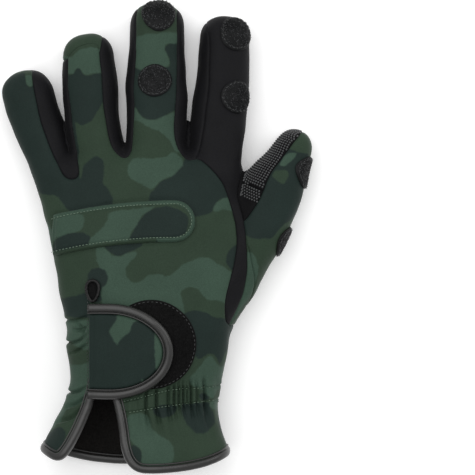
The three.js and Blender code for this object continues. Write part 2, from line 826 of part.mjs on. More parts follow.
function pullLoop() {
  const steps = 16
  const sides = 6
  const radius = LOOP_CORD / 2
  const foot = new THREE.Vector2(LOOP_ACROSS * PALM_WIDTH, STRAP_CORNER.y)
  foot.y += STRAP_WIDTH / 2 + SEAM_GAP + radius
  const vertices = []
  const triangles = []
  for (let i = 0; i < steps; i++) {
    const turn = (i / steps) * 2 * Math.PI
    const share = (1 - Math.cos(turn)) / 2
    const taper = LOOP_FOOT_SHARE + (1 - LOOP_FOOT_SHARE) * share
    const wide = (LOOP_WIDTH / 2 - radius) * Math.sin(turn) * taper
    const centre = new THREE.Vector2(foot.x + wide, foot.y + (LOOP_LENGTH - 2 * radius) * share)
    const out = new THREE.Vector2(Math.sin(turn), -Math.cos(turn))
    const height = skinHeight(centre.x, centre.y) + SEAM_GAP * 2 + radius
    for (let j = 0; j < sides; j++) {
      const round = (j / sides) * 2 * Math.PI
      vertices.push(new THREE.Vector3(
        centre.x + out.x * radius * Math.cos(round),
        centre.y + out.y * radius * Math.cos(round),
        height + radius * Math.sin(round),
      ))
      const a = i * sides + j
      const b = i * sides + ((j + 1) % sides)
      const c = ((i + 1) % steps) * sides + j
      const d = ((i + 1) % steps) * sides + ((j + 1) % sides)
      triangles.push([a, c, d], [a, d, b])
    }
  }
  const solid = solidFrom(vertices, triangles)
  const flipped = triangles.map(([a, b, c]) => [a, c, b])
  addPiece('pull_loop', solid.volume() > 0 ? solid : solidFrom(vertices, flipped), 'binding')
}

const DOT_SIDES = 18

// Fastening dots: round slices over a digit's skin. turn leans the dot to the thumb's side, pitch
// leans it towards the tip, and along and across are shares of the digit.
const DOTS = [
  { name: 'dot_middle_tip', tube: MIDDLE, along: 0.81, across: 0, turn: 0, pitch: 50 },
  { name: 'dot_middle_mid', tube: MIDDLE, along: 0.562, across: -0.03, turn: -2, pitch: 0 },
  { name: 'dot_index_tip', tube: INDEX, along: 0.82, across: 0.08, turn: 32, pitch: 32 },
  { name: 'dot_index_mid', tube: INDEX, along: 0.532, across: 0.05, turn: 40, pitch: 0 },
  { name: 'dot_thumb_tip', tube: THUMB, along: 0.82, across: 0, turn: 78, pitch: 10 },
  { name: 'dot_thumb_mid', tube: THUMB, along: 0.51, across: 0, turn: 80, pitch: 0 },
]

function dotSolid({ tube, along, across, turn, pitch }) {
  const { ahead, aside } = frameOf(tube)
  const start = onDigit(tube, along, across)
  const side = Math.sin(radians(turn)) * Math.cos(radians(pitch))
  const rise = Math.cos(radians(turn)) * Math.cos(radians(pitch))
  const forward = Math.sin(radians(pitch))
  const direction = new THREE.Vector3(
    aside.x * side + ahead.x * forward,
    aside.y * side + ahead.y * forward,
    rise,
  )
  const turnTo = new THREE.Quaternion().setFromUnitVectors(new THREE.Vector3(0, 0, 1), direction)
  const foot = new THREE.Vector3(start.x, start.y, tube.height / 2)
  const place = (point, height) => new THREE.Vector3(point.x, point.y, height).applyQuaternion(turnTo).add(foot)
  const circle = circleAt(new THREE.Vector2(0, 0), DOT_DIAMETER / 2, DOT_SIDES)
  const low = circle.map((point) => place(point, 0))
  const high = circle.map((point) => place(point, tube.width))
  const drill = loft([low, high], middleOf(low), middleOf(high))
  return tubeSolid(tube, SEAM_GAP + DOT_THICKNESS).subtract(clearSkin).intersect(drill)
}

palmSide()
backSide()
thumbSide()
binding()
addPiece('knuckle_strip',
  layer(SEAM_GAP, SEAM_GAP + KNUCKLE_STRIP_THICKNESS, knuckleOutline()), 'camouflage')
cuffPieces()
pullLoop()
for (const dot of DOTS) {
  addPiece(dot.name, dotSolid(dot), 'fastener')
}

export default glove
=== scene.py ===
import math
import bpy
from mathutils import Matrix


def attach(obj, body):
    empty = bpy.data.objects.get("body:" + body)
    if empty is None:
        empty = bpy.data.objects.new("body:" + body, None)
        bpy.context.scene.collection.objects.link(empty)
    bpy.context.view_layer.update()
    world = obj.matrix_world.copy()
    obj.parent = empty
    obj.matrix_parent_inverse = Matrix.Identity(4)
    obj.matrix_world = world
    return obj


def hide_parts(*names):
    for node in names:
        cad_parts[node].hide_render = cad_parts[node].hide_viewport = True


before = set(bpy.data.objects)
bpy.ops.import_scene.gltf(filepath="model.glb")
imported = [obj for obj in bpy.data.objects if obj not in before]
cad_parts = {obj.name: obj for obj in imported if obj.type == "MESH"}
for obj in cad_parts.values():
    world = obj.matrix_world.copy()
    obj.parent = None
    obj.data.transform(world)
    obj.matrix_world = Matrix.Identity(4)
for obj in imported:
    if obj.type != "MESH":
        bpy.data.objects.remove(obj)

from types import SimpleNamespace

import bpy
import numpy as np
from mathutils import Vector
from mathutils.kdtree import KDTree

for name in ("Cube", "Light", "Camera"):
    if name in bpy.data.objects:
        bpy.data.objects.remove(bpy.data.objects[name])
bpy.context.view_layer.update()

# A left-hand fishing glove lying on its palm. Numbers are millimetres until a mesh is made.
# X points to the thumb, Y to the fingertips, Z out of the back of the hand.

MM = 0.001
PALM_LENGTH = 170
PALM_WIDTH = 100
PALM_HEIGHT = 40
HEM_TO_ORIGIN = 122
HEM_RISE = 9
WALL = 2.6
SOLE_FLAT = 1.5
SIDE_SEAM_HEIGHT = 7.5
SHOULDER_HEIGHT = 12.5
BINDING_WIDTH = 5.3
SLIT_FLOOR = 18
STRAP_LENGTH = 43.5
STRAP_WIDTH = 50.5
STRAP_STRAIGHT = 10
STRAP_LIFT = 1.8
STRAP_THICKNESS = 2.4
PAD_DIAMETER = 47
PAD_THICKNESS = 1.4
PAD_CENTRE = (0.07, 0.395)
STRAP_CORNER = (-0.25, 0.3735)
STRIP_LEVEL = 0.776
STRIP_DROP = 0.044
STRIP_START = -0.455
STRIP_END = 0.19
DOT_DIAMETER = 17.6
DOT_THICKNESS = 1.2
KNUCKLE_STRIP_WIDTH = 22
KNUCKLE_STRIP_THICKNESS = 2
STRIP_STITCH_INSET = 2.2
LOOP_LENGTH = 12.5
LOOP_WIDTH = 9.5
LOOP_CORD = 1.7

NET_STEP = 1.25
NET_LOW = (-80, -140, -3)
NET_HIGH = (106, 142, 52)
SLOPE_STEP = 0.25
ROW_STEP = 0.866
CIRCLE_POINTS = 72
PATTERN_LEVEL = 30
FAR_OFF = 99.0
NEAR_TUBE = 15
SECTION_BLUR = 5
CAP_POWER = 2.3
START_CAP = 12
FINGER_BLEND = 1.5
HAND_BLEND = 7
THUMB_BLEND = 8
FLOOR_BLEND = 3
SEAM_DEPTH = 0.85
SEAM_ROUND = 1.9
TIP_SEAM_EASE = 0.65
SEAM_REACH = 2.2
PANEL_ROUNDS = 9
LIFT = 0.3
ON_SKIN = 0.3
HAIR_LEAN = 0.45
HAIR_CURL = 0.9


# Lines and outlines in plan

def on_palm(across, along):
    return np.array([across * PALM_WIDTH, along * PALM_LENGTH - HEM_TO_ORIGIN])


def on_digit(digit, along, across):
    return digit.root + digit.ahead * along * digit.length + digit.aside * across * digit.width


def resampled(points, step, closed=False):
    """Points at even steps along a line."""
    line = np.asarray(points, float)
    if closed:
        line = np.vstack([line, line[:1]])
    run = np.concatenate([[0], np.cumsum(np.linalg.norm(np.diff(line, axis=0), axis=1))])
    count = max(2, round(run[-1] / step))
    at = np.linspace(0, run[-1], count if closed else count + 1, endpoint=not closed)
    return np.stack([np.interp(at, run, column) for column in line.T], axis=1)


def blurred(values, reach, closed=False):
    """Values along a line, each mixed with its neighbours within about reach steps."""
    half = int(math.ceil(3 * reach))
    weights = np.exp(-0.5 * (np.arange(-half, half + 1) / reach) ** 2)
    weights /= weights.sum()
    rows = np.asarray(values, float).reshape(len(values), -1)
    wide = np.pad(rows, ((half, half), (0, 0)), mode="wrap" if closed else "edge")
    mixed = np.stack([np.convolve(column, weights, "valid") for column in wide.T], axis=1)
    return mixed.reshape(np.shape(values))


def softened(points, reach, closed=True, step=2.5):
    """A line through the points with its corners rounded."""
    return blurred(resampled(points, step, closed), reach / step, closed)


def outlined(places, reach, step=2.5):
    """A rounded outline through places: shares of the palm, or a digit and shares of it."""
    corners = [on_digit(*place) if len(place) == 3 else on_palm(*place) for place in places]
    return softened(corners, reach, step=step)


def turns(count):
    """Even angles round a full turn."""
    return np.arange(count) / count * 2 * math.pi


def compass(angles):
    """Points on a circle of radius one."""
    return np.stack([np.cos(angles), np.sin(angles)], axis=1)


def unit(vectors):
    """The same directions, of length one."""
    return vectors / np.maximum(np.linalg.norm(vectors, axis=-1, keepdims=True), 1e-9)


def course(path, closed):
    """The way a line runs at each of its points."""
    if closed:
        return np.roll(path, -1, axis=0) - np.roll(path, 1, axis=0)
    return np.gradient(path, axis=0)


def hexagonal(low, high, pitch):
    """The x and y of a hexagonal lattice over a box, in rows."""
    x, y = np.meshgrid(np.arange(low[0], high[0], pitch), np.arange(low[1], high[1], pitch * ROW_STEP))
    x[1::2] += pitch / 2
    return x, y


def inside_distance(outline, places):
    """Distance in plan to a closed outline, positive inside it."""
    x, y = places[:, 0], places[:, 1]
    best = np.full(len(x), np.inf)
    odd = np.zeros(len(x), bool)
    for a, b in zip(outline, np.roll(outline, -1, axis=0)):
        ex, ey = b - a
        wx = x - a[0]
        wy = y - a[1]
        share = np.clip((wx * ex + wy * ey) / (ex * ex + ey * ey), 0, 1)
        best = np.minimum(best, (wx - share * ex) ** 2 + (wy - share * ey) ** 2)
        if ey != 0:
            odd ^= ((a[1] <= y) != (b[1] <= y)) & (wx < wy * ex / ey)
    return np.where(odd, 1, -1) * np.sqrt(best)


def line_distance(line, x, y):
    """Distance to an open line, and how far along it the nearest place is."""
    best = np.full(len(x), np.inf)
    along = np.zeros(len(x))
    run = 0.0
    for a, b in zip(line[:-1], line[1:]):
        ex, ey = b - a
        length = math.hypot(ex, ey)
        share = np.clip(((x - a[0]) * ex + (y - a[1]) * ey) / length ** 2, 0, 1)
        gap = np.hypot(x - a[0] - share * ex, y - a[1] - share * ey)
        nearer = gap < best
        best[nearer] = gap[nearer]
        along[nearer] = run + share[nearer] * length
        run += length
    return best, along


# The glove's form: tubes with rounded sections, melted together

def make_tube(root, lean, roll, size, power, cap_from, rows):
    """A tube along a straight axis on the floor. root holds shares of the palm. Each row is
    (along, left, right, top): shares of the tube's length, its width twice, and its height."""
    length, width, height = size
    table = np.array(rows, float) * [length, width, width, height]
    stations = np.arange(table[0, 0], length + 1, 1.0)
    left, right, top = (blurred(np.interp(stations, table[:, 0], column), SECTION_BLUR)
                        for column in table.T[1:])
    ahead = np.array([math.sin(math.radians(lean)), math.cos(math.radians(lean))])
    return SimpleNamespace(
        root=on_palm(*root), ahead=ahead, aside=np.array([ahead[1], -ahead[0]]), roll=math.radians(roll),
        length=length, width=width, height=height, power=power, cap=cap_from * length,
        stations=stations, left=left, right=right, top=top)


PALM = make_tube((0, 0), 0, 0, (PALM_LENGTH, PALM_WIDTH, PALM_HEIGHT), 2.7, 0.92, [
    (-0.08, 0.535, 0.475, 1.12), (0.06, 0.535, 0.48, 1.13), (0.115, 0.485, 0.44, 1.07),
    (0.17, 0.42, 0.42, 0.97), (0.25, 0.368, 0.417, 0.93), (0.31, 0.37, 0.45, 0.96),
    (0.38, 0.387, 0.47, 0.98), (0.52, 0.415, 0.505, 1), (0.6, 0.441, 0.515, 0.99),
    (0.69, 0.473, 0.52, 0.96), (0.79, 0.496, 0.525, 0.91), (0.92, 0.515, 0.515, 0.8)])
PINKY = make_tube((-0.403, 0.861), -16.9, -16, (70.5, 28, 24), 2.4, 0.8, [
    (-0.25, 0.38, 0.35, 1), (0, 0.46, 0.35, 1.13), (0.22, 0.48, 0.36, 1.06),
    (0.42, 0.53, 0.36, 1), (0.62, 0.65, 0.36, 1), (0.8, 0.63, 0.33, 0.97)])
RING = make_tube((-0.202, 0.892), -5.6, -8, (82, 28, 26), 2.4, 0.84, [
    (-0.25, 0.44, 0.44, 1.08), (0, 0.46, 0.46, 1.19), (0.2, 0.54, 0.49, 1.12),
    (0.44, 0.62, 0.43, 1.04), (0.66, 0.59, 0.45, 1), (0.84, 0.52, 0.45, 0.97)])
MIDDLE = make_tube((0.088, 0.892), 0.9, 0, (98, 32, 27), 2.4, 0.86, [
    (-0.22, 0.46, 0.48, 1.14), (0, 0.49, 0.52, 1.22), (0.2, 0.53, 0.51, 1.14),
    (0.42, 0.54, 0.49, 1.05), (0.62, 0.55, 0.46, 1), (0.86, 0.48, 0.42, 0.98)])
INDEX = make_tube((0.395, 0.876), 2.6, 18, (93.5, 28, 26), 2.4, 0.86, [
    (-0.22, 0.44, 0.4, 1.08), (0, 0.5, 0.43, 1.18), (0.2, 0.55, 0.47, 1.12),
    (0.4, 0.52, 0.55, 1.04), (0.62, 0.42, 0.58, 1), (0.86, 0.4, 0.54, 0.98)])
THUMB = make_tube((0.395, 0.417), 23.6, 8, (119.5, 32, 28), 2.3, 0.88, [
    (0.02, 0.3, 0.19, 0.75), (0.1, 0.4, 0.25, 0.92), (0.2, 0.5, 0.34, 1.04),
    (0.34, 0.58, 0.38, 1.12), (0.47, 0.58, 0.42, 1.1), (0.6, 0.57, 0.44, 1.04),
    (0.7, 0.6, 0.44, 1), (0.79, 0.5, 0.38, 0.94), (0.88, 0.34, 0.3, 0.82)])


def section(tube, s):
    """A tube's widths to the left and right, and its height, at distances along it."""
    return (np.interp(s, tube.stations, size) for size in (tube.left, tube.right, tube.top))


def tube_distance(tube, points):
    """About the distance to a tube's skin, negative inside; far off it is just large."""
    plan = points[:, :2] - tube.root
    s = plan @ tube.ahead
    a = plan @ tube.aside
    result = np.full(len(points), FAR_OFF)
    near = (s > tube.stations[0] - NEAR_TUBE) & (s < tube.length + NEAR_TUBE)
    near &= np.abs(a) < tube.width + NEAR_TUBE
    s = s[near]
    a = a[near]
    left, right, top = section(tube, s)
    across = a - (right - left) / 2
    rise = points[near, 2] - (top - SOLE_FLAT) / 2
    u = across * math.cos(tube.roll) - rise * math.sin(tube.roll)
    v = across * math.sin(tube.roll) + rise * math.cos(tube.roll)
    cap_length = tube.length - tube.cap
    over = np.clip(s - tube.cap, 0, None)
    start = tube.stations[0] + START_CAP
    under = np.clip(start - s, 0, None) if tube is not PALM else np.zeros(len(s))
    ring = (np.abs(2 * u / (left + right)) ** tube.power
            + np.abs(2 * v / (top + SOLE_FLAT)) ** tube.power) ** (CAP_POWER / tube.power)
    radius = (ring + (over / cap_length) ** CAP_POWER + (under / START_CAP) ** CAP_POWER) ** (1 / CAP_POWER)
    out = np.sqrt(u ** 2 + v ** 2 + over ** 2 + under ** 2)
    result[near] = out * (1 - 1 / np.maximum(radius, 1e-3))
    return result


def melted(first, second, blend):
    """The smaller of two distances, rounded where they meet."""
    overlap = np.clip(blend - np.abs(first - second), 0, None)
    return np.minimum(first, second) - overlap ** 2 / (4 * blend)


def body_distance(points):
    """About the distance to the glove's skin, negative inside it."""
    fingers = tube_distance(PINKY, points)
    for tube in (RING, MIDDLE, INDEX):
        fingers = melted(fingers, tube_distance(tube, points), FINGER_BLEND)
    hand = melted(tube_distance(PALM, points), fingers, HAND_BLEND)
    whole = melted(hand, tube_distance(THUMB, points), THUMB_BLEND)
    return -melted(-whole, points[:, 2], FLOOR_BLEND)


def slope(points):
    """The direction in which the distance grows, by differences."""
    columns = []
    for axis in np.eye(3) * SLOPE_STEP:
        columns.append((body_distance(points + axis) - body_distance(points - axis)) / (2 * SLOPE_STEP))
    return np.stack(columns, axis=1)


def onto_skin(points, rounds=1):
    for _ in range(rounds):
        steep = slope(points)
        size = np.maximum((steep ** 2).sum(axis=1), 0.05)
        move = np.clip(body_distance(points) / size, -1.5, 1.5)
        points = points - steep * move[:, None]
    return points


def out_of_skin(points):
    return unit(slope(points))


# Nets of triangles

def sides_of(faces):
    return np.concatenate([faces[:, [0, 1]], faces[:, [1, 2]], faces[:, [2, 0]]])


def edges_of(faces):
    """The edges of some faces, and the numbers of each face's three edges."""
    sides = np.sort(sides_of(faces), axis=1)
    base = faces.max() + 1
    keys, number = np.unique(sides[:, 0] * base + sides[:, 1], return_inverse=True)
    return np.stack([keys // base, keys % base], axis=1), number.reshape(3, -1).T


def crossings(value, edges):
    """Which edges the zero line of a value crosses, and where on each."""
    first, second = value[edges].T
    crossed = first * second < 0
    span = first - second
    return crossed, np.where(crossed, first / np.where(span == 0, 1, span), 0.5)


def divided(points, faces, edges, sides, marked, share):
    """Puts a point on each marked edge and divides its faces. Also gives each new face's old one."""
    number = np.full(len(edges), -1)
    number[marked] = len(points) + np.arange(marked.sum())
    ends = points[edges[marked]]
    fresh = ends[:, 0] + (ends[:, 1] - ends[:, 0]) * share[marked, None]
    middles = number[sides]
    pattern = (middles >= 0) @ np.array([1, 2, 4])
    made = [faces[pattern == 0]]
    parents = [np.flatnonzero(pattern == 0)]

    def add(rows, corners, *triangles):
        for triangle in triangles:
            made.append(np.stack([corners[name] for name in triangle], axis=1))
            parents.append(rows)

    for code, turn in ((1, 0), (2, 1), (4, 2), (3, 0), (6, 1), (5, 2), (7, 0)):
        rows = np.flatnonzero(pattern == code)
        a, b, c = (faces[rows, (turn + i) % 3] for i in range(3))
        m, n, o = (middles[rows, (turn + i) % 3] for i in range(3))
        corners = {"a": a, "b": b, "c": c, "m": m, "n": n, "o": o}
        if code in (1, 2, 4):
            add(rows, corners, "amc", "mbc")
        elif code == 7:
            add(rows, corners, "amo", "mbn", "onc", "mno")
        else:
            add(rows, corners, "mbn", "amn", "anc")
    return np.vstack([points, fresh]), np.vstack(made), np.concatenate(parents)


def relaxed(points, faces, lines, rounds, project):
    """Evens out the triangles. The edges in lines keep their course and become smooth."""
    edges, _ = edges_of(faces)
    count = len(points)

    def mean_of(pairs):
        ends = np.concatenate([pairs, pairs[:, ::-1]])
        weight = np.bincount(ends[:, 0], minlength=count)
        sums = [np.bincount(ends[:, 0], points[ends[:, 1], k], count) for k in range(points.shape[1])]
        return np.stack(sums, axis=1) / np.maximum(weight, 1)[:, None], weight

    for turn in range(rounds):
        mean, _ = mean_of(edges)
        line_mean, weight = mean_of(lines)
        target = np.where((weight > 0)[:, None], line_mean, mean)
        free = (weight == 0) | (weight == 2)
        points = points + 0.5 * (target - points) * free[:, None]
        if turn % 3 == 2:
            points = project(points)
    return project(points)


def surface_net(distance, low, high, step):
    """A net of triangles over the surface where a distance is zero, inside a box."""
    axes = [np.arange(a, b + step, step) for a, b in zip(low, high)]
    grid = np.stack(np.meshgrid(*axes, indexing="ij"), axis=-1)
    shape = grid.shape[:3]
    values = distance(grid.reshape(-1, 3)).reshape(shape)
    inside = values < 0
    cells, places, quads = [], [], []
    for axis in range(3):
        way = np.eye(3, dtype=int)[axis]
        first = tuple(slice(0, n - d) for n, d in zip(shape, way))
        second = tuple(slice(d, n) for n, d in zip(shape, way))
        b, c = (axis + 1) % 3, (axis + 2) % 3
        spots = np.argwhere(inside[first] != inside[second])
        spots = spots[(spots[:, b] > 0) & (spots[:, c] > 0)]
        start = values[tuple(spots.T)]
        end = values[tuple((spots + way).T)]
        place = spots + way * (start / (start - end))[:, None]
        corner = []
        for back_b, back_c in ((1, 1), (0, 1), (0, 0), (1, 0)):
            cell = spots.copy()
            cell[:, b] -= back_b
            cell[:, c] -= back_c
            corner.append(np.ravel_multi_index(tuple(cell.T), shape))
            cells.append(corner[-1])
            places.append(place)
        quad = np.stack(corner, axis=1)
        rising = start < 0
        quads.append(np.where(rising[:, None], quad, quad[:, ::-1]))
    ids, number = np.unique(np.concatenate(cells), return_inverse=True)
    place = np.concatenate(places)
    total = np.stack([np.bincount(number, place[:, k]) for k in range(3)], axis=1)
    points = np.array(low) + total / np.bincount(number)[:, None] * step
    corners = np.searchsorted(ids, np.concatenate(quads))
    faces = np.concatenate([corners[:, [0, 1, 2]], corners[:, [0, 2, 3]]])
    return points, faces


class Skin:
    """The glove's outer surface as a net whose faces are labelled by piece."""

    def __init__(self, points, faces):
        self.points = points
        self.faces = faces
        self.label = np.full(len(faces), "free", dtype="<U32")

    def take(self, name, region, source="free"):
        """The faces of the source where region is positive get the name."""
        value = region(self.points)
        value[np.abs(value) < 0.25 * NET_STEP] = 0
        edges, sides = edges_of(self.faces)
        marked, share = crossings(value, edges)
        used = np.zeros(len(edges), bool)
        used[sides[self.label == source].ravel()] = True
        marked &= used
        self.points, self.faces, parents = divided(self.points, self.faces, edges, sides, marked, share)
        self.label = self.label[parents]
        value = np.concatenate([value, np.zeros(marked.sum())])
        total = value[self.faces].sum(axis=1)
        flat = (value[self.faces] == 0).all(axis=1)
        if flat.any():
            total[flat] = region(self.points[self.faces[flat]].mean(axis=1))
        self.label[(self.label == source) & (total > 0)] = name

    def lines(self, with_rim=True):
        """The edges between two pieces, and the net's own rim if asked."""
        edges, sides = edges_of(self.faces)
        names, number = np.unique(self.label, return_inverse=True)
        low = np.full(len(edges), len(names))
        high = np.full(len(edges), -1)
        np.minimum.at(low, sides.ravel(), np.repeat(number, 3))
        np.maximum.at(high, sides.ravel(), np.repeat(number, 3))
        uses = np.bincount(sides.ravel(), minlength=len(edges))
        chosen = low != high
        if with_rim:
            chosen |= uses == 1
        return edges[chosen]

    def drop(self, name):
        """Removes the faces of one label and the points that only they used."""
        self.faces = self.faces[self.label != name]
        self.label = self.label[self.label != name]
        used, number = np.unique(self.faces, return_inverse=True)
        self.points = self.points[used]
        self.faces = number.reshape(-1, 3)

    def relax(self, rounds):
        self.points = relaxed(self.points, self.faces, self.lines(), rounds, onto_skin)

    def refine_seams(self, reach):
        """Halves the edges that lie nearer than reach to a line between pieces."""
        self.refine(line_distances(self.points, self.lines()) < reach)

    def refine(self, chosen):
        """Halves the edges between chosen points."""
        edges, sides = edges_of(self.faces)
        marked = chosen[edges].all(axis=1)
        half = np.full(len(edges), 0.5)
        old = len(self.points)
        self.points, self.faces, parents = divided(self.points, self.faces, edges, sides, marked, half)
        self.points[old:] = onto_skin(self.points[old:])
        self.label = self.label[parents]


def line_distances(points, lines):
    """Each point's distance to the nearest of some edges of the same net."""
    spots = np.unique(lines)
    tree = KDTree(len(spots))
    for number, spot in enumerate(spots):
        tree.insert(points[spot], number)
    tree.balance()
    near = np.array([tree.find(point)[1] for point in points])
    beside = np.tile(spots[:, None], (1, 2))
    place = np.searchsorted(spots, lines)
    for start, end in ((0, 1), (1, 0)):
        beside[place[:, start], start] = lines[:, end]
    best = np.linalg.norm(points - points[spots[near]], axis=1)
    for k in range(2):
        a = points[spots[near]]
        b = points[beside[near, k]]
        edge = b - a
        share = ((points - a) * edge).sum(axis=1) / np.maximum((edge ** 2).sum(axis=1), 1e-9)
        spot = a + edge * np.clip(share, 0, 1)[:, None]
        best = np.minimum(best, np.linalg.norm(points - spot, axis=1))
    return best


# Regions of the glove's panels, positive inside

BACK_OUTLINE = outlined([
    (-0.8, -0.2), (-0.9, 0.84), (PINKY, 0.5, -1.1), (PINKY, 1.15, -0.8), (PINKY, 1.15, 0.1),
    (PINKY, 0.98, 0.075), (PINKY, 0.8, 0.03), (PINKY, 0.585, -0.03), (PINKY, 0.34, 0.01),
    (PINKY, 0.11, 0.11), (-0.352, 0.9), (RING, 0.05, -0.365), (RING, 0.15, -0.4), (RING, 0.37, -0.465),
    (RING, 0.69, -0.47), (RING, 0.85, -0.42), (RING, 0.905, -0.24), (RING, 0.925, -0.02),
    (RING, 0.92, 0.22), (RING, 0.54, 0.195), (RING, 0.32, 0.22), (RING, 0.21, 0.29), (-0.08, 0.965),
    (MIDDLE, 0.15, -0.42), (MIDDLE, 0.34, -0.4), (MIDDLE, 0.7, -0.4), (MIDDLE, 0.9, -0.38),
    (MIDDLE, 1.1, -0.3), (MIDDLE, 1.1, 0.3), (MIDDLE, 0.91, 0.31), (MIDDLE, 0.7, 0.34),
    (MIDDLE, 0.375, 0.3), (MIDDLE, 0.23, 0.32), (0.258, 0.956), (0.307, 0.978), (0.387, 0.937),
    (0.45, 0.89), (0.483, 0.843), (0.51, 0.78), (0.52, 0.7), (0.502, 0.633), (0.475, 0.58),
    (0.458, 0.51), (0.466, 0.45), (0.9, 0.4), (0.9, -0.2)], 2)
OUTER_SIDE = outlined([
    (-0.8, -0.2), (-0.9, 0.84), (PINKY, 0.5, -1.1), (PINKY, 1.15, -0.8), (PINKY, 1.15, 0),
    (PINKY, 0.5, -0.1), (-0.3, 0.8), (0, 0.5), (0.3, 0.45), (0.466, 0.45), (0.9, 0.4), (0.9, -0.2)], 2)
THUMB_SIDE = outlined([
    (0.524, 0.852), (0.555, 0.769), (0.571, 0.713), (0.575, 0.617), (0.56, 0.555), (0.53, 0.509),
    (0.475, 0.435), (0.6, 0.36), (1.6, 0.4), (1.6, 1.8), (0.62, 1.8), (0.6, 1.1), (0.56, 0.97),
    (0.532, 0.9)], 2)
THENAR = outlined([
    (0.36, 0.774), (0.272, 0.778), (0.225, 0.767), (0.17, 0.728), (0.124, 0.68), (0.094, 0.628),
    (0.088, 0.572), (0.11, 0.517), (0.159, 0.464), (0.225, 0.426), (0.312, 0.398), (0.42, 0.385),
    (0.56, 0.39), (THUMB, 0.12, 0.22), (THUMB, 0.3, 0.16), (THUMB, 0.51, 0.16), (THUMB, 0.6, 0.1),
    (0.56, 0.88), (0.513, 0.8), (0.44, 0.78)], 2)
SIDE_GRIP = outlined([
    (-0.08, -0.2), (-0.08, 0.8), (-0.12, 0.835), (-0.8, 0.835), (-0.8, -0.2)], 3)
GUSSET = outlined([
    (0.55, 0.735), (0.585, 0.69), (0.602, 0.639), (0.618, 0.595), (0.615, 0.564), (0.588, 0.523),
    (0.53, 0.462), (0.44, 0.38), (0.3, 0.4), (0.3, 0.735)], 2)
RING_TIP_BAND = outlined([
    (RING, 0.835, -0.9), (RING, 0.835, -0.3), (RING, 0.7, 0.1), (RING, 0.92, 0.27), (RING, 1.3, 0.27),
    (RING, 1.3, -0.9)], 1, step=1)
SLIT = outlined([
    (-0.64, -0.06), (-0.5, 0.03), (-0.44, 0.02), (-0.395, 0.035), (-0.345, 0.08), (-0.29, 0.143),
    (-0.25, 0.19), (-0.225, 0.24), (-0.21, 0.29), (-0.19, 0.31), (-0.165, 0.29), (-0.145, 0.24),
    (-0.12, 0.19), (-0.102, 0.143), (-0.092, 0.09), (-0.07, 0.04), (-0.035, 0.014), (0.02, -0.01),
    (0.1, -0.06)], 2)

# The grip's seam on the thumb: shares along, and across at the thumb's top and at its foot
GRIP_ALONG = [0.51, 0.64, 0.77, 0.87, 0.97, 1.2]
GRIP_TOP = [-0.29, -0.2, -0.24, -0.17, -0.06, -0.02]
GRIP_FOOT = [0.16, 0.12, 0.09, 0.07, 0.05, 0.04]
GRIP_START_ACROSS = [-0.9, -0.56, -0.29]
GRIP_START_ALONG = [0.66, 0.6, 0.51]

# Lines between the black side walls, from the root past the tip: shares along and across
INDEX_WALL = [(0.176, -0.342), (0.35, -0.255), (0.556, -0.19), (0.848, -0.22), (0.974, -0.293),
              (1.15, -0.35)]
CAP_LINE = {"index": 0.6, "middle": 0.62, "thumb": 0.68}


def in_plan(outline):
    return lambda points: inside_distance(outline, points)


def along_digit(digit, points):
    plan = points[:, :2] - digit.root
    return plan @ digit.ahead / digit.length, plan @ digit.aside / digit.width


def above_side_seam(points):
    return points[:, 2] - SIDE_SEAM_HEIGHT


def back_zone(points):
    upper = np.minimum(in_plan(BACK_OUTLINE)(points), points[:, 2] - SHOULDER_HEIGHT)
    return np.maximum(upper, in_plan(OUTER_SIDE)(points))


def thumb_zone(points):
    back = np.minimum(back_zone(points), above_side_seam(points))
    return np.minimum(in_plan(THUMB_SIDE)(points), -back)


def grip_zone(points):
    along, across = along_digit(THUMB, points)
    lean = np.clip(points[:, 2] / THUMB.height, 0, 1.2)
    top = np.interp(along, GRIP_ALONG, GRIP_TOP)
    foot = np.interp(along, GRIP_ALONG, GRIP_FOOT)
    seam = (foot + (top - foot) * lean - across) * THUMB.width
    start = (along - np.interp(across, GRIP_START_ACROSS, GRIP_START_ALONG)) * THUMB.length
    thumb_part = np.minimum(np.minimum(seam, start), thumb_zone(points))
    ball = np.minimum(in_plan(THENAR)(points), -above_side_seam(points))
    return np.maximum(thumb_part, ball)


def cap_zone(digit, start):
    def region(points):
        along, across = along_digit(digit, points)
        return np.minimum((along - start) * digit.length, (0.62 - np.abs(across)) * digit.width)
    return region


def left_of(line):
    """Positive on the left of a line that runs to the fingertips."""
    def region(points):
        return np.interp(points[:, 1], line[:, 1], line[:, 0]) - points[:, 0]
    return region


def wall_line(digit, across):
    return np.array([on_digit(digit, -0.6, across), on_digit(digit, 1.4, across)])


def hem_height(x):
    return HEM_RISE * np.abs(2 * x / PALM_WIDTH) ** 3 - HEM_TO_ORIGIN


def edge_zone(inset):
    """Positive outside the cloth: below the hem or in the slit, each moved by the inset."""
    def region(points):
        hem = hem_height(points[:, 0]) + inset - points[:, 1]
        slit = inside_distance(SLIT, points) + inset
        return np.where(points[:, 2] > SLIT_FLOOR, np.maximum(hem, slit), hem)
    return region


def ring_tip_zone(points):
    """The band of patterned cloth over the ring finger's tip."""
    return np.minimum(in_plan(RING_TIP_BAND)(points), above_side_seam(points))


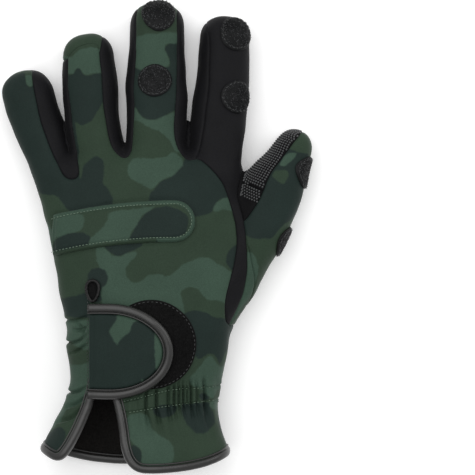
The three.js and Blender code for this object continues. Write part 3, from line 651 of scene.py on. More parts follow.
def divide_skin():
    points, faces = surface_net(body_distance, NET_LOW, NET_HIGH, NET_STEP)
    skin = Skin(onto_skin(points, 2), faces)
    skin.relax(3)
    skin.take("off", edge_zone(BINDING_WIDTH / 2))
    skin.drop("off")
    skin.take("thumb_grip", grip_zone)
    skin.take("thumb_tip_grip", cap_zone(THUMB, CAP_LINE["thumb"]), "thumb_grip")
    skin.take("thumb_back", thumb_zone)
    skin.take("thumb_gusset", lambda p: np.minimum(in_plan(GUSSET)(p), above_side_seam(p)), "thumb_back")
    skin.take("palm_panel", lambda p: -above_side_seam(p))
    skin.take("side_grip", in_plan(SIDE_GRIP), "palm_panel")
    skin.take("index_tip_palm", cap_zone(INDEX, CAP_LINE["index"]), "palm_panel")
    skin.take("middle_tip_palm", cap_zone(MIDDLE, CAP_LINE["middle"]), "palm_panel")
    skin.take("back_panel", back_zone)
    skin.take("fourchette_pinky_ring", left_of(wall_line(RING, -0.1)))
    skin.take("fourchette_ring_middle", left_of(wall_line(MIDDLE, 0)))
    index_wall = [on_palm(0.24, 0.3), on_palm(0.24, 0.9)]
    index_wall += [on_digit(INDEX, along, across) for along, across in INDEX_WALL]
    skin.take("fourchette_middle_index", left_of(softened(index_wall, 3, closed=False)))
    skin.label[skin.label == "free"] = "index_back"
    for wall in ("fourchette_pinky_ring", "fourchette_ring_middle"):
        skin.take("ring_tip_band", ring_tip_zone, wall)
    return skin


# Outlines of the flat pieces on the back

def strap_outline(inset):
    """Square where it is sewn on, half an ellipse at its free end; from the upper corner round."""
    corner = on_palm(*STRAP_CORNER)
    half = STRAP_WIDTH / 2 - inset
    reach = STRAP_LENGTH - STRAP_STRAIGHT - inset
    angles = np.radians(np.arange(90, -91, -5))
    curve = corner + [STRAP_STRAIGHT, 0] + np.stack([reach * np.cos(angles), half * np.sin(angles)], axis=1)
    return np.vstack([corner + [0, half], curve, corner - [0, half]])


def circle(centre, radius):
    return np.asarray(centre) + radius * compass(turns(CIRCLE_POINTS))


def strip_outline(inset=0):
    """The knuckle strip: it drops towards its sewn-in end and is round at the other."""
    half = KNUCKLE_STRIP_WIDTH / 2 - inset
    across = np.linspace(STRIP_START, STRIP_END, 14)
    drop = STRIP_DROP * ((STRIP_END - across) / (STRIP_END - STRIP_START)) ** 2
    middle = np.array([on_palm(a, STRIP_LEVEL - d) for a, d in zip(across, drop)])
    end = middle[-1] + half * compass(np.radians(np.arange(80, -81, -10)))
    return np.vstack([middle + [0, half], end, middle[::-1] - [0, half]])


STRAP_OUTLINE = strap_outline(0)
STRIP_OUTLINE = strip_outline()
PAD_OUTLINE = circle(on_palm(*PAD_CENTRE), PAD_DIAMETER / 2)


# Places read off the photograph

PIXEL = 0.535
PHOTO_MIDDLE = 237.5
ORIGIN_PIXEL = (140, 240)
CAMERA_HEIGHT = 1000
PIXEL_PLANE = 20


def from_photo(pixels, height):
    """Places in plan of pixels seen from above, on a plane at a height."""
    scale = (CAMERA_HEIGHT - height) / (CAMERA_HEIGHT - PIXEL_PLANE)
    plane = (np.asarray(pixels, float) - PHOTO_MIDDLE) * scale + PHOTO_MIDDLE - ORIGIN_PIXEL
    return plane * [PIXEL, -PIXEL]


PHOTO_HEIGHT = {"back": 36, "strip": 39, "strap": 42, "thumb": 26}

# Creases beside the strap, each a line of pixels
CREASES = [
    [(56, 322), (66, 321), (76, 321), (88, 316)], [(73, 330), (80, 331), (88, 327)],
    [(56, 344), (71, 344), (80, 341), (88, 334)], [(76, 322), (82, 328), (86, 336)],
    [(70, 354), (78, 351), (88, 344)], [(56, 392), (66, 395), (77, 393), (88, 387)],
    [(66, 409), (78, 404), (88, 396)], [(56, 424), (72, 418), (80, 411), (87, 403)]]


# Folds: the skin moved along its normal

UPPER_ROW = [(-0.088, 0.216), (0.064, 0.238), (0.131, 0.25), (0.197, 0.257), (0.297, 0.258),
             (0.44, 0.263)]
LOWER_ROW = [(-0.056, 0.184), (0.084, 0.198), (0.207, 0.208), (0.331, 0.216), (0.44, 0.22)]
PALM_UPPER_ROW = [(-0.47, 0.25), (-0.2, 0.247), (0.2, 0.247), (0.5, 0.255)]
PALM_LOWER_ROW = [(-0.47, 0.205), (-0.2, 0.2), (0.2, 0.2), (0.5, 0.21)]
PUCKERS = [4, 9.5, 15.7, 18.8, 21.2, 23.5, 25.3, 27.4, 30.5, 34.5]
FLAP_START = -9
PLEAT_WIDTH = 0.55
PLEAT_DEPTHS = (1.7, 2.4)
PLEAT_SLANT = 0.22
FADE_OVER = 4.5
FADE_UNDER = 13
RIPPLE_LENGTH = 6.1
RIPPLE_HEIGHT = 0.4
ROW_SWELL = 0.9
ROW_GROOVE = 0.9
GROOVE_WIDTH = 0.6
PALM_SHARE = 0.6
CREASE_DEPTH = 2.5
CREASE_WIDTH = 0.85
CREASE_SWELL = 0.8
SWELL_WIDTH = 3.6
WAIST_DRAW = 1.2
WAIST_LEVEL = -43
WAIST_REACH = 8
WAIST_SIDE = -24
WAIST_BOX = (-46, -24, -103, -38)
WIDE_REACH = (5, 8)
NARROW_REACH = (2, 2.5)
STRIP_PRESS = 0.75
DEEPEST_FOLD = 2.4


def row_line(shares):
    return softened([on_palm(across, along) for across, along in shares], 4, closed=False)


def waves(points, length, seed):
    """Smooth hills between -1 and 1, about a given length apart."""
    draw = np.random.default_rng(seed)
    total = np.zeros(len(points))
    for _ in range(7):
        way = draw.normal(size=3)
        way /= np.linalg.norm(way) * length * draw.uniform(0.75, 1.3)
        total += np.sin(points @ way * 2 * math.pi + draw.uniform(0, 6.28))
    return total / 3.2


def bell(values, width):
    return np.exp(-(values / width) ** 2)


def rows_fold(points, upper, lower):
    """Elastic sewn in two rows: a groove at each, a swell between them and puckers round them."""
    x, y = points[:, 0], points[:, 1]
    high = np.interp(x, upper[:, 0], upper[:, 1])
    low = np.interp(x, lower[:, 0], lower[:, 1])
    to_high = y - high
    to_low = low - y
    between = np.clip(1 - np.clip(np.maximum(to_high, to_low), 0, None) / 3, 0, 1)
    fade = np.where(to_high > 0, bell(to_high, FADE_OVER), 1)
    fade *= np.where(to_low > 0, bell(to_low, FADE_UNDER), 1)
    slide = x - PLEAT_SLANT * np.clip(to_low, 0, None)
    ripple = RIPPLE_HEIGHT * np.sin(slide / RIPPLE_LENGTH * 2 * math.pi + 1.3 * np.sin(slide / 13))
    narrow = PLEAT_WIDTH + 0.09 * np.clip(to_low, 0, 12) + 0.05 * np.clip(to_high, 0, 8)
    for number, place in enumerate(PUCKERS):
        ripple -= PLEAT_DEPTHS[number % 2] * bell(slide - place, narrow)
        ripple += 0.6 * bell(slide - place - 1.4, 0.8)
    grooves = bell(to_high, GROOVE_WIDTH) + bell(to_low, GROOVE_WIDTH)
    return ROW_SWELL * between + ripple * fade - ROW_GROOVE * grooves


def crease_fold(points):
    """Creases where the wrist is drawn together beside the strap, with the cloth swelling between."""
    x, y = points[:, 0], points[:, 1]
    move = np.zeros(len(points))
    for pixels in CREASES:
        line = softened(from_photo(pixels, PHOTO_HEIGHT["back"]), 1.2, closed=False, step=1)
        gap, along = line_distance(line, x, y)
        length = np.linalg.norm(np.diff(line, axis=0), axis=1).sum()
        ends = np.clip(np.minimum(along, length - along) / (0.3 * length), 0, 1)
        depth = bell(gap, CREASE_WIDTH) * (0.4 + 0.6 * ends)
        move += CREASE_SWELL * bell(gap, SWELL_WIDTH) - CREASE_DEPTH * depth
    beside = np.clip((WAIST_SIDE - x) / 4, 0, 1)
    return move - WAIST_DRAW * bell(y - WAIST_LEVEL, WAIST_REACH) * beside


def folds(points, out):
    """How far each point of the skin moves outwards."""
    upward = np.clip(out[:, 2] * 2.5, 0, 1)
    downward = np.clip(-out[:, 2] * 2.5, 0, 1)
    right_flap = 1 / (1 + np.exp((FLAP_START - points[:, 0]) / 1.2))
    under_pad = np.clip(inside_distance(PAD_OUTLINE, points) + 1.5, 0, 2) / 2
    under_strap = np.clip(inside_distance(STRAP_OUTLINE, points) + 1, 0, 2) / 2
    free = 1 - np.clip(under_pad + under_strap, 0, 1)
    back_rows = rows_fold(points, row_line(UPPER_ROW), row_line(LOWER_ROW))
    palm_rows = rows_fold(points, row_line(PALM_UPPER_ROW), row_line(PALM_LOWER_ROW))
    move = back_rows * right_flap * free * (1 - downward) + PALM_SHARE * palm_rows * downward
    move += crease_fold(points) * (1 - downward) * free
    edge = inside_distance(STRIP_OUTLINE, points)
    move -= STRIP_PRESS * bell(edge, 1.3) * upward
    loose = 0.45 * waves(points, 38, 3) + 0.16 * waves(points, 13, 5)
    flat_foot = np.clip(points[:, 2] / 6, 0, 1)
    move = move * np.clip(upward + downward + 0.7, 0, 1) + loose * flat_foot
    return np.maximum(move, -DEEPEST_FOLD)


def puckered(points, over, under):
    """True over the elastic, from under its lower row to over its upper one, and beside the strap
    where over is wide: there the folds are too narrow for the net's own step."""
    x, y, z = points.T
    upper, lower = row_line(UPPER_ROW), row_line(LOWER_ROW)
    below = y < np.interp(x, upper[:, 0], upper[:, 1]) + over
    above = y > np.interp(x, lower[:, 0], lower[:, 1]) - under
    left, right, bottom, top = WAIST_BOX
    beside_strap = (x > left) & (x < right) & (y > bottom) & (y < top) & (over == WIDE_REACH[0])
    return (below & above & (x > FLAP_START) | beside_strap) & (z > SHOULDER_HEIGHT)


def seam_drop(distance):
    """Both panels round down into the seam between them."""
    near = np.clip(1 - distance / SEAM_ROUND, 0, 1)
    return -SEAM_DEPTH * (1 - np.sqrt(np.clip(1 - near ** 2, 0, 1)))


# Camouflage, charted: outlines of its blobs in pixels of the photograph. One light blob on the thumb is
# painted highlight.

CAMOUFLAGE = {
    ("back", "light"): [
        [(20, 60), (32, 60), (32, 80), (28, 83), (23, 79)],
        [(30, 50), (66, 55), (70, 49), (80, 44), (90, 42), (97, 43), (115, 45), (110, 69), (92, 71),
         (86, 73), (80, 72), (77, 66), (74, 64), (70, 67), (67, 72), (40, 70)],
        [(110, 34), (137, 33), (145, 31), (152, 32), (160, 31), (170, 30), (200, 30), (200, 40),
         (178, 41), (170, 41), (165, 44), (164, 47), (167, 51), (171, 56), (172, 64), (160, 65),
         (148, 65), (140, 69), (133, 66), (110, 60)],
        [(110, 104), (131, 106), (134, 110), (140, 116), (147, 119), (155, 119), (165, 115), (173, 111),
         (200, 108), (200, 150), (176, 150), (172, 143), (167, 136), (158, 130), (150, 127), (143, 124),
         (137, 119), (110, 118)],
        [(132, 158), (142, 158), (155, 158), (166, 157), (173, 150), (182, 156), (183, 165), (178, 170),
         (172, 177), (163, 179), (157, 184), (152, 190), (146, 187), (138, 182), (130, 179), (127, 172),
         (128, 164)],
        [(216, 203), (222, 198), (245, 197), (245, 212), (233, 211), (225, 209), (219, 210), (213, 213),
         (213, 208)],
        [(96, 244), (103, 245), (109, 252), (114, 256), (120, 257), (126, 254), (131, 252), (138, 251),
         (136, 258), (130, 262), (126, 268), (126, 276), (130, 281), (136, 283), (142, 281), (147, 277),
         (150, 274), (158, 274), (166, 276), (172, 275), (177, 270), (182, 265), (190, 261), (198, 258),
         (206, 257), (213, 260), (218, 265), (226, 268), (232, 274), (260, 282), (260, 306), (226, 304),
         (218, 300), (210, 301), (204, 297), (200, 290), (194, 287), (188, 287), (182, 289), (181, 296),
         (184, 304), (185, 316), (165, 330), (120, 330), (104, 310), (100, 290), (107, 284), (109, 276),
         (106, 270), (100, 268), (97, 262)],
        [(20, 322), (69, 321), (76, 320), (92, 320), (94, 350), (82, 350), (74, 345), (20, 338)],
        [(20, 368), (71, 366), (80, 366), (92, 361), (96, 402), (78, 404), (66, 412), (58, 424),
         (50, 428), (20, 430)],
        [(196, 372), (203, 362), (208, 356), (213, 357), (217, 365), (222, 369), (260, 372), (260, 392),
         (222, 392), (216, 396), (210, 400), (205, 396), (203, 390), (196, 388), (190, 385), (190, 376)],
        [(208, 402), (217, 401), (250, 402), (250, 412), (218, 410), (213, 411), (209, 408)],
        [(127, 416), (140, 412), (148, 414), (150, 421), (153, 429), (160, 434), (168, 438), (174, 446),
         (175, 456), (160, 475), (140, 475), (143, 456), (142, 448), (136, 443), (130, 438), (127, 428)],
        [(-5, 232), (34, 226), (48, 232), (50, 246), (40, 256), (20, 262), (-5, 258)],
    ],
    ("back", "dark"): [
        [(-40, 50), (18, 50), (22, 79), (28, 84), (33, 80), (38, 60), (60, 80), (80, 180), (83, 165),
         (90, 158), (97, 156), (103, 160), (104, 173), (102, 182), (108, 190), (113, 198), (112, 212),
         (80, 216), (64, 208), (60, 200), (54, 195), (0, 194), (-40, 150)],
        [(40, 70), (67, 72), (70, 67), (74, 64), (77, 66), (80, 73), (86, 74), (92, 72), (115, 69),
         (115, 92), (101, 104), (95, 113), (90, 119), (85, 123), (78, 124), (70, 121), (40, 112)],
        [(110, 62), (133, 66), (140, 70), (148, 66), (160, 66), (173, 65), (172, 56), (167, 51),
         (164, 46), (170, 41), (200, 39), (200, 106), (173, 110), (165, 115), (155, 119), (147, 119),
         (140, 116), (134, 110), (131, 105), (110, 102)],
        [(148, 202), (150, 194), (156, 187), (160, 181), (170, 177), (176, 172), (181, 166), (186, 155),
         (200, 145), (240, 150), (250, 190), (245, 197), (222, 198), (216, 203), (213, 210), (211, 214),
         (197, 216), (180, 222), (160, 216)],
        [(260, 240), (236, 245), (230, 249), (227, 254), (225, 262), (230, 270), (260, 276)],
        [(103, 247), (108, 251), (113, 255), (119, 257), (124, 255), (130, 252), (137, 250), (144, 244),
         (124, 236), (106, 240)],
        [(88, 275), (90, 270), (97, 268), (104, 268), (109, 272), (109, 280), (106, 288), (104, 300),
         (96, 304), (88, 290)],
        [(20, 300), (64, 299), (72, 296), (80, 295), (88, 292), (92, 318), (80, 318), (74, 318),
         (20, 316)],
        [(187, 311), (195, 310), (205, 312), (214, 317), (222, 319), (262, 322), (262, 352), (232, 354),
         (228, 360), (222, 368), (218, 362), (214, 353), (208, 354), (200, 360), (190, 352), (180, 335),
         (180, 316)],
        [(197, 394), (204, 392), (208, 396), (207, 401), (200, 401)],
        [(152, 408), (160, 405), (170, 404), (178, 406), (176, 412), (170, 416), (162, 418), (156, 415)],
        [(181, 404), (190, 404), (200, 403), (208, 403), (210, 410), (216, 416), (216, 424), (210, 430),
         (203, 434), (196, 433), (190, 427), (184, 419)],
        [(132, 444), (138, 444), (143, 449), (143, 457), (138, 470), (126, 470), (128, 450)],
        [(20, 440), (52, 430), (62, 427), (66, 433), (64, 443), (58, 449), (48, 462), (20, 462)],
        [(250, 412), (232, 416), (226, 428), (232, 440), (250, 446), (262, 430)],
    ],
    ("strip", "light"): [
        [(20, 216), (45, 215), (60, 213), (75, 213), (84, 215), (85, 222), (83, 230), (76, 233),
         (68, 234), (60, 237), (54, 241), (20, 246)],
        [(108, 214), (118, 211), (135, 210), (148, 208), (156, 205), (152, 210), (144, 214), (140, 220),
         (136, 226), (133, 232), (129, 238), (128, 250), (84, 256), (88, 246), (92, 238), (98, 233),
         (104, 227), (108, 220)],
    ],
    ("strip", "dark"): [
        [(20, 250), (53, 245), (57, 240), (62, 236), (70, 233), (80, 233), (88, 234), (92, 238),
         (90, 244), (84, 262), (20, 264)],
        [(128, 243), (132, 233), (137, 225), (141, 219), (147, 213), (153, 209), (160, 207), (168, 207),
         (175, 209), (181, 212), (187, 216), (188, 223), (186, 233), (178, 250), (128, 256)],
    ],
    ("strap", "light"): [
        [(116, 300), (118, 318), (115, 324), (110, 328), (109, 331), (112, 335), (115, 341), (118, 347),
         (120, 341), (125, 336), (130, 332), (132, 327), (133, 322), (137, 320), (144, 321), (150, 324),
         (155, 330), (154, 340), (155, 350), (155, 360), (156, 370), (158, 376), (168, 376), (176, 345),
         (160, 318), (140, 300)],
        [(141, 392), (141, 380), (142, 375), (144, 382), (145, 392)],
    ],
    ("strap", "dark"): [
        [(60, 280), (190, 280), (190, 420), (60, 420)],
    ],
    ("thumb", "light"): [
        [(279, 162), (284, 151), (302, 151), (296, 158), (285, 165)],
        # Painted highlight: this light blob lies along the rim where the thumb gusset folds over
        [(238, 262), (246, 252), (252, 252), (258, 262), (262, 274), (262, 300), (240, 330), (232, 340)],
    ],
    ("thumb", "dark"): [
        [(250, 130), (300, 150), (330, 156), (330, 226), (292, 226), (282, 232), (274, 240), (264, 238),
         (258, 240), (250, 238), (236, 226), (236, 190)],
    ],
    ("thumb", "green"): [
        [(273, 168), (291, 169), (291, 177), (285, 184), (278, 181), (272, 175)],
        [(304, 226), (316, 236), (306, 262), (292, 262), (290, 244)],
    ],
}
OUTSIDE = -9.0


def camouflage_of(chart, pattern):
    """Distance into each tone's blobs at places of the pattern, positive inside."""
    tones = {}
    for tone in ("light", "dark", "green"):
        depth = np.full(len(pattern), OUTSIDE)
        for blob in CAMOUFLAGE.get((chart, tone), ()):
            outline = softened(from_photo(blob, PHOTO_HEIGHT[chart]), 1.1, step=1.3)
            low, high = outline.min(axis=0) - 4, outline.max(axis=0) + 4
            near = ((pattern > low) & (pattern < high)).all(axis=1)
            inside = inside_distance(outline, pattern[near])
            depth[near] = np.maximum(depth[near], inside)
        tones[tone] = depth
    return tones


def pattern_places(points, out):
    """Places in the flat pattern: the sides are folded out, so that it runs down them unstretched."""
    drop = np.clip(PATTERN_LEVEL - points[:, 2], 0, None)
    return points[:, :2] + out[:, :2] * drop[:, None]


# Meshes

def placed(name, data):
    """A new object in the scene."""
    thing = bpy.data.objects.new(name, data)
    bpy.context.scene.collection.objects.link(thing)
    return thing


def make_piece(name, points, faces, materials, slots=None, sharp=None, attributes=None):
    """A Blender object of triangles, in metres. sharp lists edges that stay hard."""
    mesh = bpy.data.meshes.new(name)
    mesh.vertices.add(len(points))
    mesh.vertices.foreach_set("co", (np.asarray(points) * MM).astype(np.float32).ravel())
    mesh.loops.add(3 * len(faces))
    mesh.loops.foreach_set("vertex_index", faces.astype(np.int32).ravel())
    mesh.polygons.add(len(faces))
    mesh.polygons.foreach_set("loop_start", np.arange(0, 3 * len(faces), 3, dtype=np.int32))
    mesh.update(calc_edges=True)
    mesh.polygons.foreach_set("use_smooth", np.ones(len(faces), bool))
    for material in materials:
        mesh.materials.append(material)
    if slots is not None:
        mesh.polygons.foreach_set("material_index", slots.astype(np.int32))
    if sharp is not None and len(sharp):
        pairs = np.zeros(2 * len(mesh.edges), np.int32)
        mesh.edges.foreach_get("vertices", pairs)
        base = len(points) + 1
        have = np.sort(pairs.reshape(-1, 2).astype(np.int64), axis=1) @ [base, 1]
        want = np.sort(np.asarray(sharp, np.int64), axis=1) @ [base, 1]
        layer = mesh.attributes.new("sharp_edge", "BOOLEAN", "EDGE")
        layer.data.foreach_set("value", np.isin(have, want))
    for label, values in (attributes or {}).items():
        if values.ndim == 1:
            layer = mesh.attributes.new(label, "FLOAT", "POINT")
            layer.data.foreach_set("value", values.astype(np.float32))
        else:
            layer = mesh.attributes.new(label, "FLOAT_VECTOR", "POINT")
            wide = np.zeros((len(values), 3), np.float32)
            wide[:, :values.shape[1]] = values
            layer.data.foreach_set("vector", wide.ravel())
    return placed(name, mesh)


def settle(piece, slot, *nodes):
    """The piece rides on the glove and stands for CAD nodes. The slot is not used."""
    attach(piece, "root")
    if nodes:
        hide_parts(*nodes)
    return piece


def joined(*parts):
    """Several (points, faces, slot) as one: points, faces and the material slot of each face."""
    points, faces, slots = [], [], []
    count = 0
    for part_points, part_faces, slot in parts:
        points.append(part_points)
        faces.append(part_faces + count)
        slots.append(np.full(len(part_faces), slot) if np.isscalar(slot) else slot)
        count += len(part_points)
    return np.vstack(points), np.vstack(faces), np.concatenate(slots)


def rim_of(faces):
    """The directed edges that only one face has."""
    edges = sides_of(faces)
    base = faces.max() + 1
    return edges[~np.isin(edges @ [base, 1], edges[:, ::-1] @ [base, 1])]


def thickened(top, bottom, faces):
    """A closed sheet between two copies of a net: points, faces, slots and its two hard rims."""
    count = len(top)
    a, b = rim_of(faces).T
    rim = np.concatenate([np.stack([b, a, a + count], axis=1), np.stack([b, a + count, b + count], axis=1)])
    points = np.vstack([top, bottom])
    everything = np.vstack([faces, faces[:, ::-1] + count, rim])
    slots = np.concatenate([np.zeros(len(faces)), np.ones(len(faces) + len(rim))])
    hard = np.concatenate([np.stack([a, b], axis=1), np.stack([a, b], axis=1) + count])
    return points, everything, slots, hard


def swept(path, width_way, out_way, profile, closed=True):
    """A profile of (width, out) pairs carried along a path, which closes on itself or gets end caps."""
    count, sides = len(path), len(profile)
    profile = np.asarray(profile, float)
    points = (path[:, None] + width_way[:, None] * profile[None, :, :1]
              + out_way[:, None] * profile[None, :, 1:]).reshape(-1, 3)
    i, j = np.meshgrid(np.arange(count if closed else count - 1), np.arange(sides), indexing="ij")
    a = (i * sides + j).ravel()
    b = (i * sides + (j + 1) % sides).ravel()
    c = ((i + 1) % count * sides + j).ravel()
    d = ((i + 1) % count * sides + (j + 1) % sides).ravel()
    faces = np.concatenate([np.stack([a, c, d], axis=1), np.stack([a, d, b], axis=1)])
    if not closed:
        ends = np.vstack([points[:sides].mean(axis=0), points[-sides:].mean(axis=0)])
        start, end = len(points), len(points) + 1
        ring = np.arange(sides)
        after = (ring + 1) % sides
        last = (count - 1) * sides
        faces = np.vstack([faces,
                           np.stack([np.full(sides, start), ring, after], axis=1),
                           np.stack([np.full(sides, end), last + after, last + ring], axis=1)])
        points = np.vstack([points, ends])
    return points, outward(points, faces)


def outward(points, faces):
    """The same faces, turned so that the closed mesh's volume is positive."""
    a, b, c = (points[faces[:, k]] for k in range(3))
    return faces if (np.cross(a, b) * c).sum() > 0 else faces[:, ::-1]


def tube_faces(rings, sides):
    """The triangles of a tube's wall, ring after ring."""
    faces = []
    for ring in range(rings - 1):
        for j in range(sides):
            a, b = ring * sides + j, ring * sides + (j + 1) % sides
            faces += [(a, b, b + sides), (a, b + sides, a + sides)]
    return faces


def ring_of(middle, side, third, radius, angles):
    """Points round each of many places."""
    return [middle + (side * math.cos(angle) + third * math.sin(angle)) * radius for angle in angles]


def repeated(rings, one):
    """Many copies of one small mesh: its points are the rings at each place."""
    points = np.stack(rings, axis=1)
    count, each = points.shape[:2]
    faces = outward(points[0], np.array(one))[None] + np.arange(count)[:, None, None] * each
    return points.reshape(-1, 3), faces.reshape(-1, 3)


# Along a stitch: where its rings are, how round and how high each is
STITCH_STATIONS = [-0.5, -0.36, 0, 0.36, 0.5]
STITCH_ROUND = [0.3, 0.85, 1, 0.85, 0.3]
STITCH_RISE = [-0.5, 0.25, 0.6, 0.25, -0.5]
STITCH_ANGLES = turns(5)
DOME_ANGLES = turns(6)


def stitches(places, ahead, out, length, radius):
    """Short round threads at places, along a direction, their ends dipping into the cloth."""
    side = np.cross(out, ahead)
    rings = []
    for station, share, rise in zip(STITCH_STATIONS, STITCH_ROUND, STITCH_RISE):
        middle = places + ahead * station * length + out * rise * radius
        rings += ring_of(middle, side, out, radius * share, STITCH_ANGLES)
    caps = [(0, 2, 1), (0, 3, 2), (0, 4, 3), (20, 21, 22), (20, 22, 23), (20, 23, 24)]
    return repeated(rings, tube_faces(5, 5) + caps)


def strands(roots, out, height, thickness, seed):
    """Short bent hairs, three-sided, standing on places of a surface."""
    draw = np.random.default_rng(seed)
    side = unit(np.cross(out, draw.normal(size=out.shape)))
    third = np.cross(out, side)
    rings = []
    for t in (0, 0.45, 0.8, 1):
        middle = roots + out * height * (t - 0.25 * t ** 3) + side * HAIR_CURL * height * t ** 2
        rings += ring_of(middle, side, third, thickness * (1 - 0.5 * t), (0, 2.1, 4.2))
    return repeated(rings, tube_faces(4, 3) + [(9, 10, 11), (0, 2, 1)])


def domes(places, out, radius, height):
    """Low round dots of rubber on a surface."""
    side = unit(np.cross(out, [0.31, 0.87, 0.38]))
    third = np.cross(out, side)
    rings = []
    for share, rise in ((1, -0.15), (0.72, 0.7)):
        rings += ring_of(places + out * height * rise, side, third, radius * share, DOME_ANGLES)
    rings.append(places + out * height)
    top = [(j + 6, (j + 1) % 6 + 6, 12) for j in range(6)]
    return repeated(rings, tube_faces(2, 6) + top)


# Flat patches laid on the glove

def plan_patch(outline, pitch):
    """A flat net of even triangles that fills an outline."""
    low = outline.min(axis=0) - 2 * pitch
    high = outline.max(axis=0) + 2 * pitch
    x, y = hexagonal(low, high, pitch)
    points = np.stack([x.ravel(), y.ravel()], axis=1)
    rows, columns = x.shape
    i, j = np.meshgrid(np.arange(rows - 1), np.arange(columns - 1), indexing="ij")
    a = (i * columns + j).ravel()
    b, c, d = a + 1, a + columns, a + columns + 1
    odd = (i % 2 == 1).ravel()
    faces = np.concatenate([
        np.stack([a, b, np.where(odd, d, c)], axis=1),
        np.stack([np.where(odd, a, b), d, c], axis=1)])
    value = inside_distance(outline, points)
    value[np.abs(value) < 0.25 * pitch] = 0
    edges, sides = edges_of(faces)
    marked, share = crossings(value, edges)
    points, faces, _ = divided(points, faces, edges, sides, marked, share)
    value = np.concatenate([value, np.zeros(marked.sum())])
    faces = faces[value[faces].sum(axis=1) > 0]
    used, number = np.unique(faces, return_inverse=True)
    points, faces = points[used], number.reshape(-1, 3)
    rim = rim_of(faces)
    return relaxed(points, faces, np.sort(rim, axis=1), 5, lambda places: places), faces


def flat_view(height, up):
    """A look straight down or up at the glove from a height."""
    return SimpleNamespace(foot=np.array([0, 0, height]), right=np.array([1.0, 0, 0]),
                           ahead=np.array([0, 1.0, 0]), up=np.array([0, 0, up]))


FROM_ABOVE = flat_view(60.0, 1.0)
FROM_BELOW = flat_view(-40.0, -1.0)
DROP_ROUNDS = 40
DROP_SHARE = 0.75
DROP_STEPS = (-3, 12)


def drop_on_skin(plan, view=FROM_ABOVE):
    """Places on the skin under a flat pattern, seen along a view, and the directions out of it."""
    points = view.foot + plan[:, :1] * view.right + plan[:, 1:2] * view.ahead
    for _ in range(DROP_ROUNDS):
        points = points - view.up * np.clip(DROP_SHARE * body_distance(points), *DROP_STEPS)[:, None]
    return points, out_of_skin(points)


def pressed(plan, view):
    """Like drop_on_skin, without the places that miss the skin. Also says which ones are left."""
    base, out = drop_on_skin(plan, view)
    held = np.abs(body_distance(base)) < ON_SKIN
    return base[held], out[held], held


def over_cloth(base, out, lift=0):
    """Places of the skin moved out to the folded cloth, and a lift further."""
    return base + out * (folds(base, out) + lift)[:, None]


def laid_patch(outline, pitch, lift, profile, view=FROM_ABOVE):
    """A flat piece on the cloth: its height at each place follows from the distance to its edge."""
    plan, faces = plan_patch(outline, pitch)
    base, out = drop_on_skin(plan, view)
    depth = np.clip(inside_distance(outline, plan), 0, None)
    fold = folds(base, out)[:, None]
    top = base + out * (fold + lift + profile(depth, plan)[:, None])
    points, everything, slots, hard = thickened(top, base + out * (fold + lift), faces)
    return points, everything, slots, hard, pattern_places(np.vstack([base, base]), np.vstack([out, out]))


def rounded_edge(depth, thickness, radius):
    """The height of a flat piece whose edge is rounded over."""
    near = 1 - np.clip(depth / radius, 0, 1)
    return thickness * np.maximum(np.sqrt(1 - near ** 2), 0.12)


def along_line(line, step, closed=False):
    """Even places on a line in plan, and its direction at each."""
    places = resampled(line, step, closed)
    return places, unit(course(places, closed))


# Threads: the pitch, length and radius of their stitches
STRIP_THREAD = (1.75, 1.15, 0.25)
PAD_THREAD = (2.3, 1.4, 0.2)
DOT_THREAD = (2.1, 1.3, 0.2)
ROW_THREAD = (1.9, 1.2, 0.2)
STRAP_THREAD = (1.9, 1.1, 0.18)
PALM_THREAD = (2.2, 1.4, 0.2)
ROW_LIFT = 0.05


def stitched_line(line, thread, lift, closed=False, view=FROM_ABOVE):
    """Stitches that follow a line in plan over the cloth, at a height over the skin."""
    pitch, length, radius = thread
    places, ahead = along_line(line, pitch, closed)
    base, out, held = pressed(places, view)
    ahead = ahead[held]
    ahead = view.right * ahead[:, :1] + view.ahead * ahead[:, 1:]
    ahead = unit(ahead - out * (ahead * out).sum(axis=1, keepdims=True))
    return stitches(over_cloth(base, out, lift), ahead, out, length, radius)


# Materials

def paint(red, green, blue):
    """A colour given as sRGB steps from 0 to 255."""
    steps = [channel / 255 for channel in (red, green, blue)]
    return [s / 12.92 if s <= 0.04045 else ((s + 0.055) / 1.055) ** 2.4 for s in steps] + [1]


def node(tree, kind, inputs=(), **settings):
    """Adds a shader node. inputs are (socket, value or output socket) pairs."""
    made = tree.nodes.new("ShaderNode" + kind)
    for key, value in settings.items():
        setattr(made, key, value)
    for socket, value in inputs:
        if isinstance(value, bpy.types.NodeSocket):
            tree.links.new(value, made.inputs[socket])
        else:
            made.inputs[socket].default_value = value
    return made


def noise(tree, where, size, detail=2):
    """Noise whose features are about size millimetres across."""
    made = node(tree, "TexNoise", [("Vector", where), ("Scale", 1 / (size * MM)), ("Detail", detail)])
    return made.outputs["Fac"]


def mapped(tree, value, low, high, to_low=0.0, to_high=1.0):
    return node(tree, "MapRange", [("Value", value), ("From Min", low), ("From Max", high),
                                   ("To Min", to_low), ("To Max", to_high)]).outputs[0]


def mixed(tree, share, first, second):
    made = node(tree, "Mix", data_type="RGBA")
    for number, value in ((0, share), (6, first), (7, second)):
        if isinstance(value, bpy.types.NodeSocket):
            tree.links.new(value, made.inputs[number])
        else:
            made.inputs[number].default_value = value
    return made.outputs[2]


def start_material(name, roughness, specular, sheen=0.0, sheen_tint=(1, 1, 1, 1)):
    material = bpy.data.materials.new(name)
    material.use_nodes = True
    shader = material.node_tree.nodes["Principled BSDF"]
    shader.inputs["Roughness"].default_value = roughness
    shader.inputs["Specular IOR Level"].default_value = specular
    shader.inputs["Sheen Weight"].default_value = sheen
    shader.inputs["Sheen Roughness"].default_value = 0.3
    shader.inputs["Sheen Tint"].default_value = sheen_tint
    where = node(material.node_tree, "TexCoord").outputs["Object"]
    return material, material.node_tree, shader, where


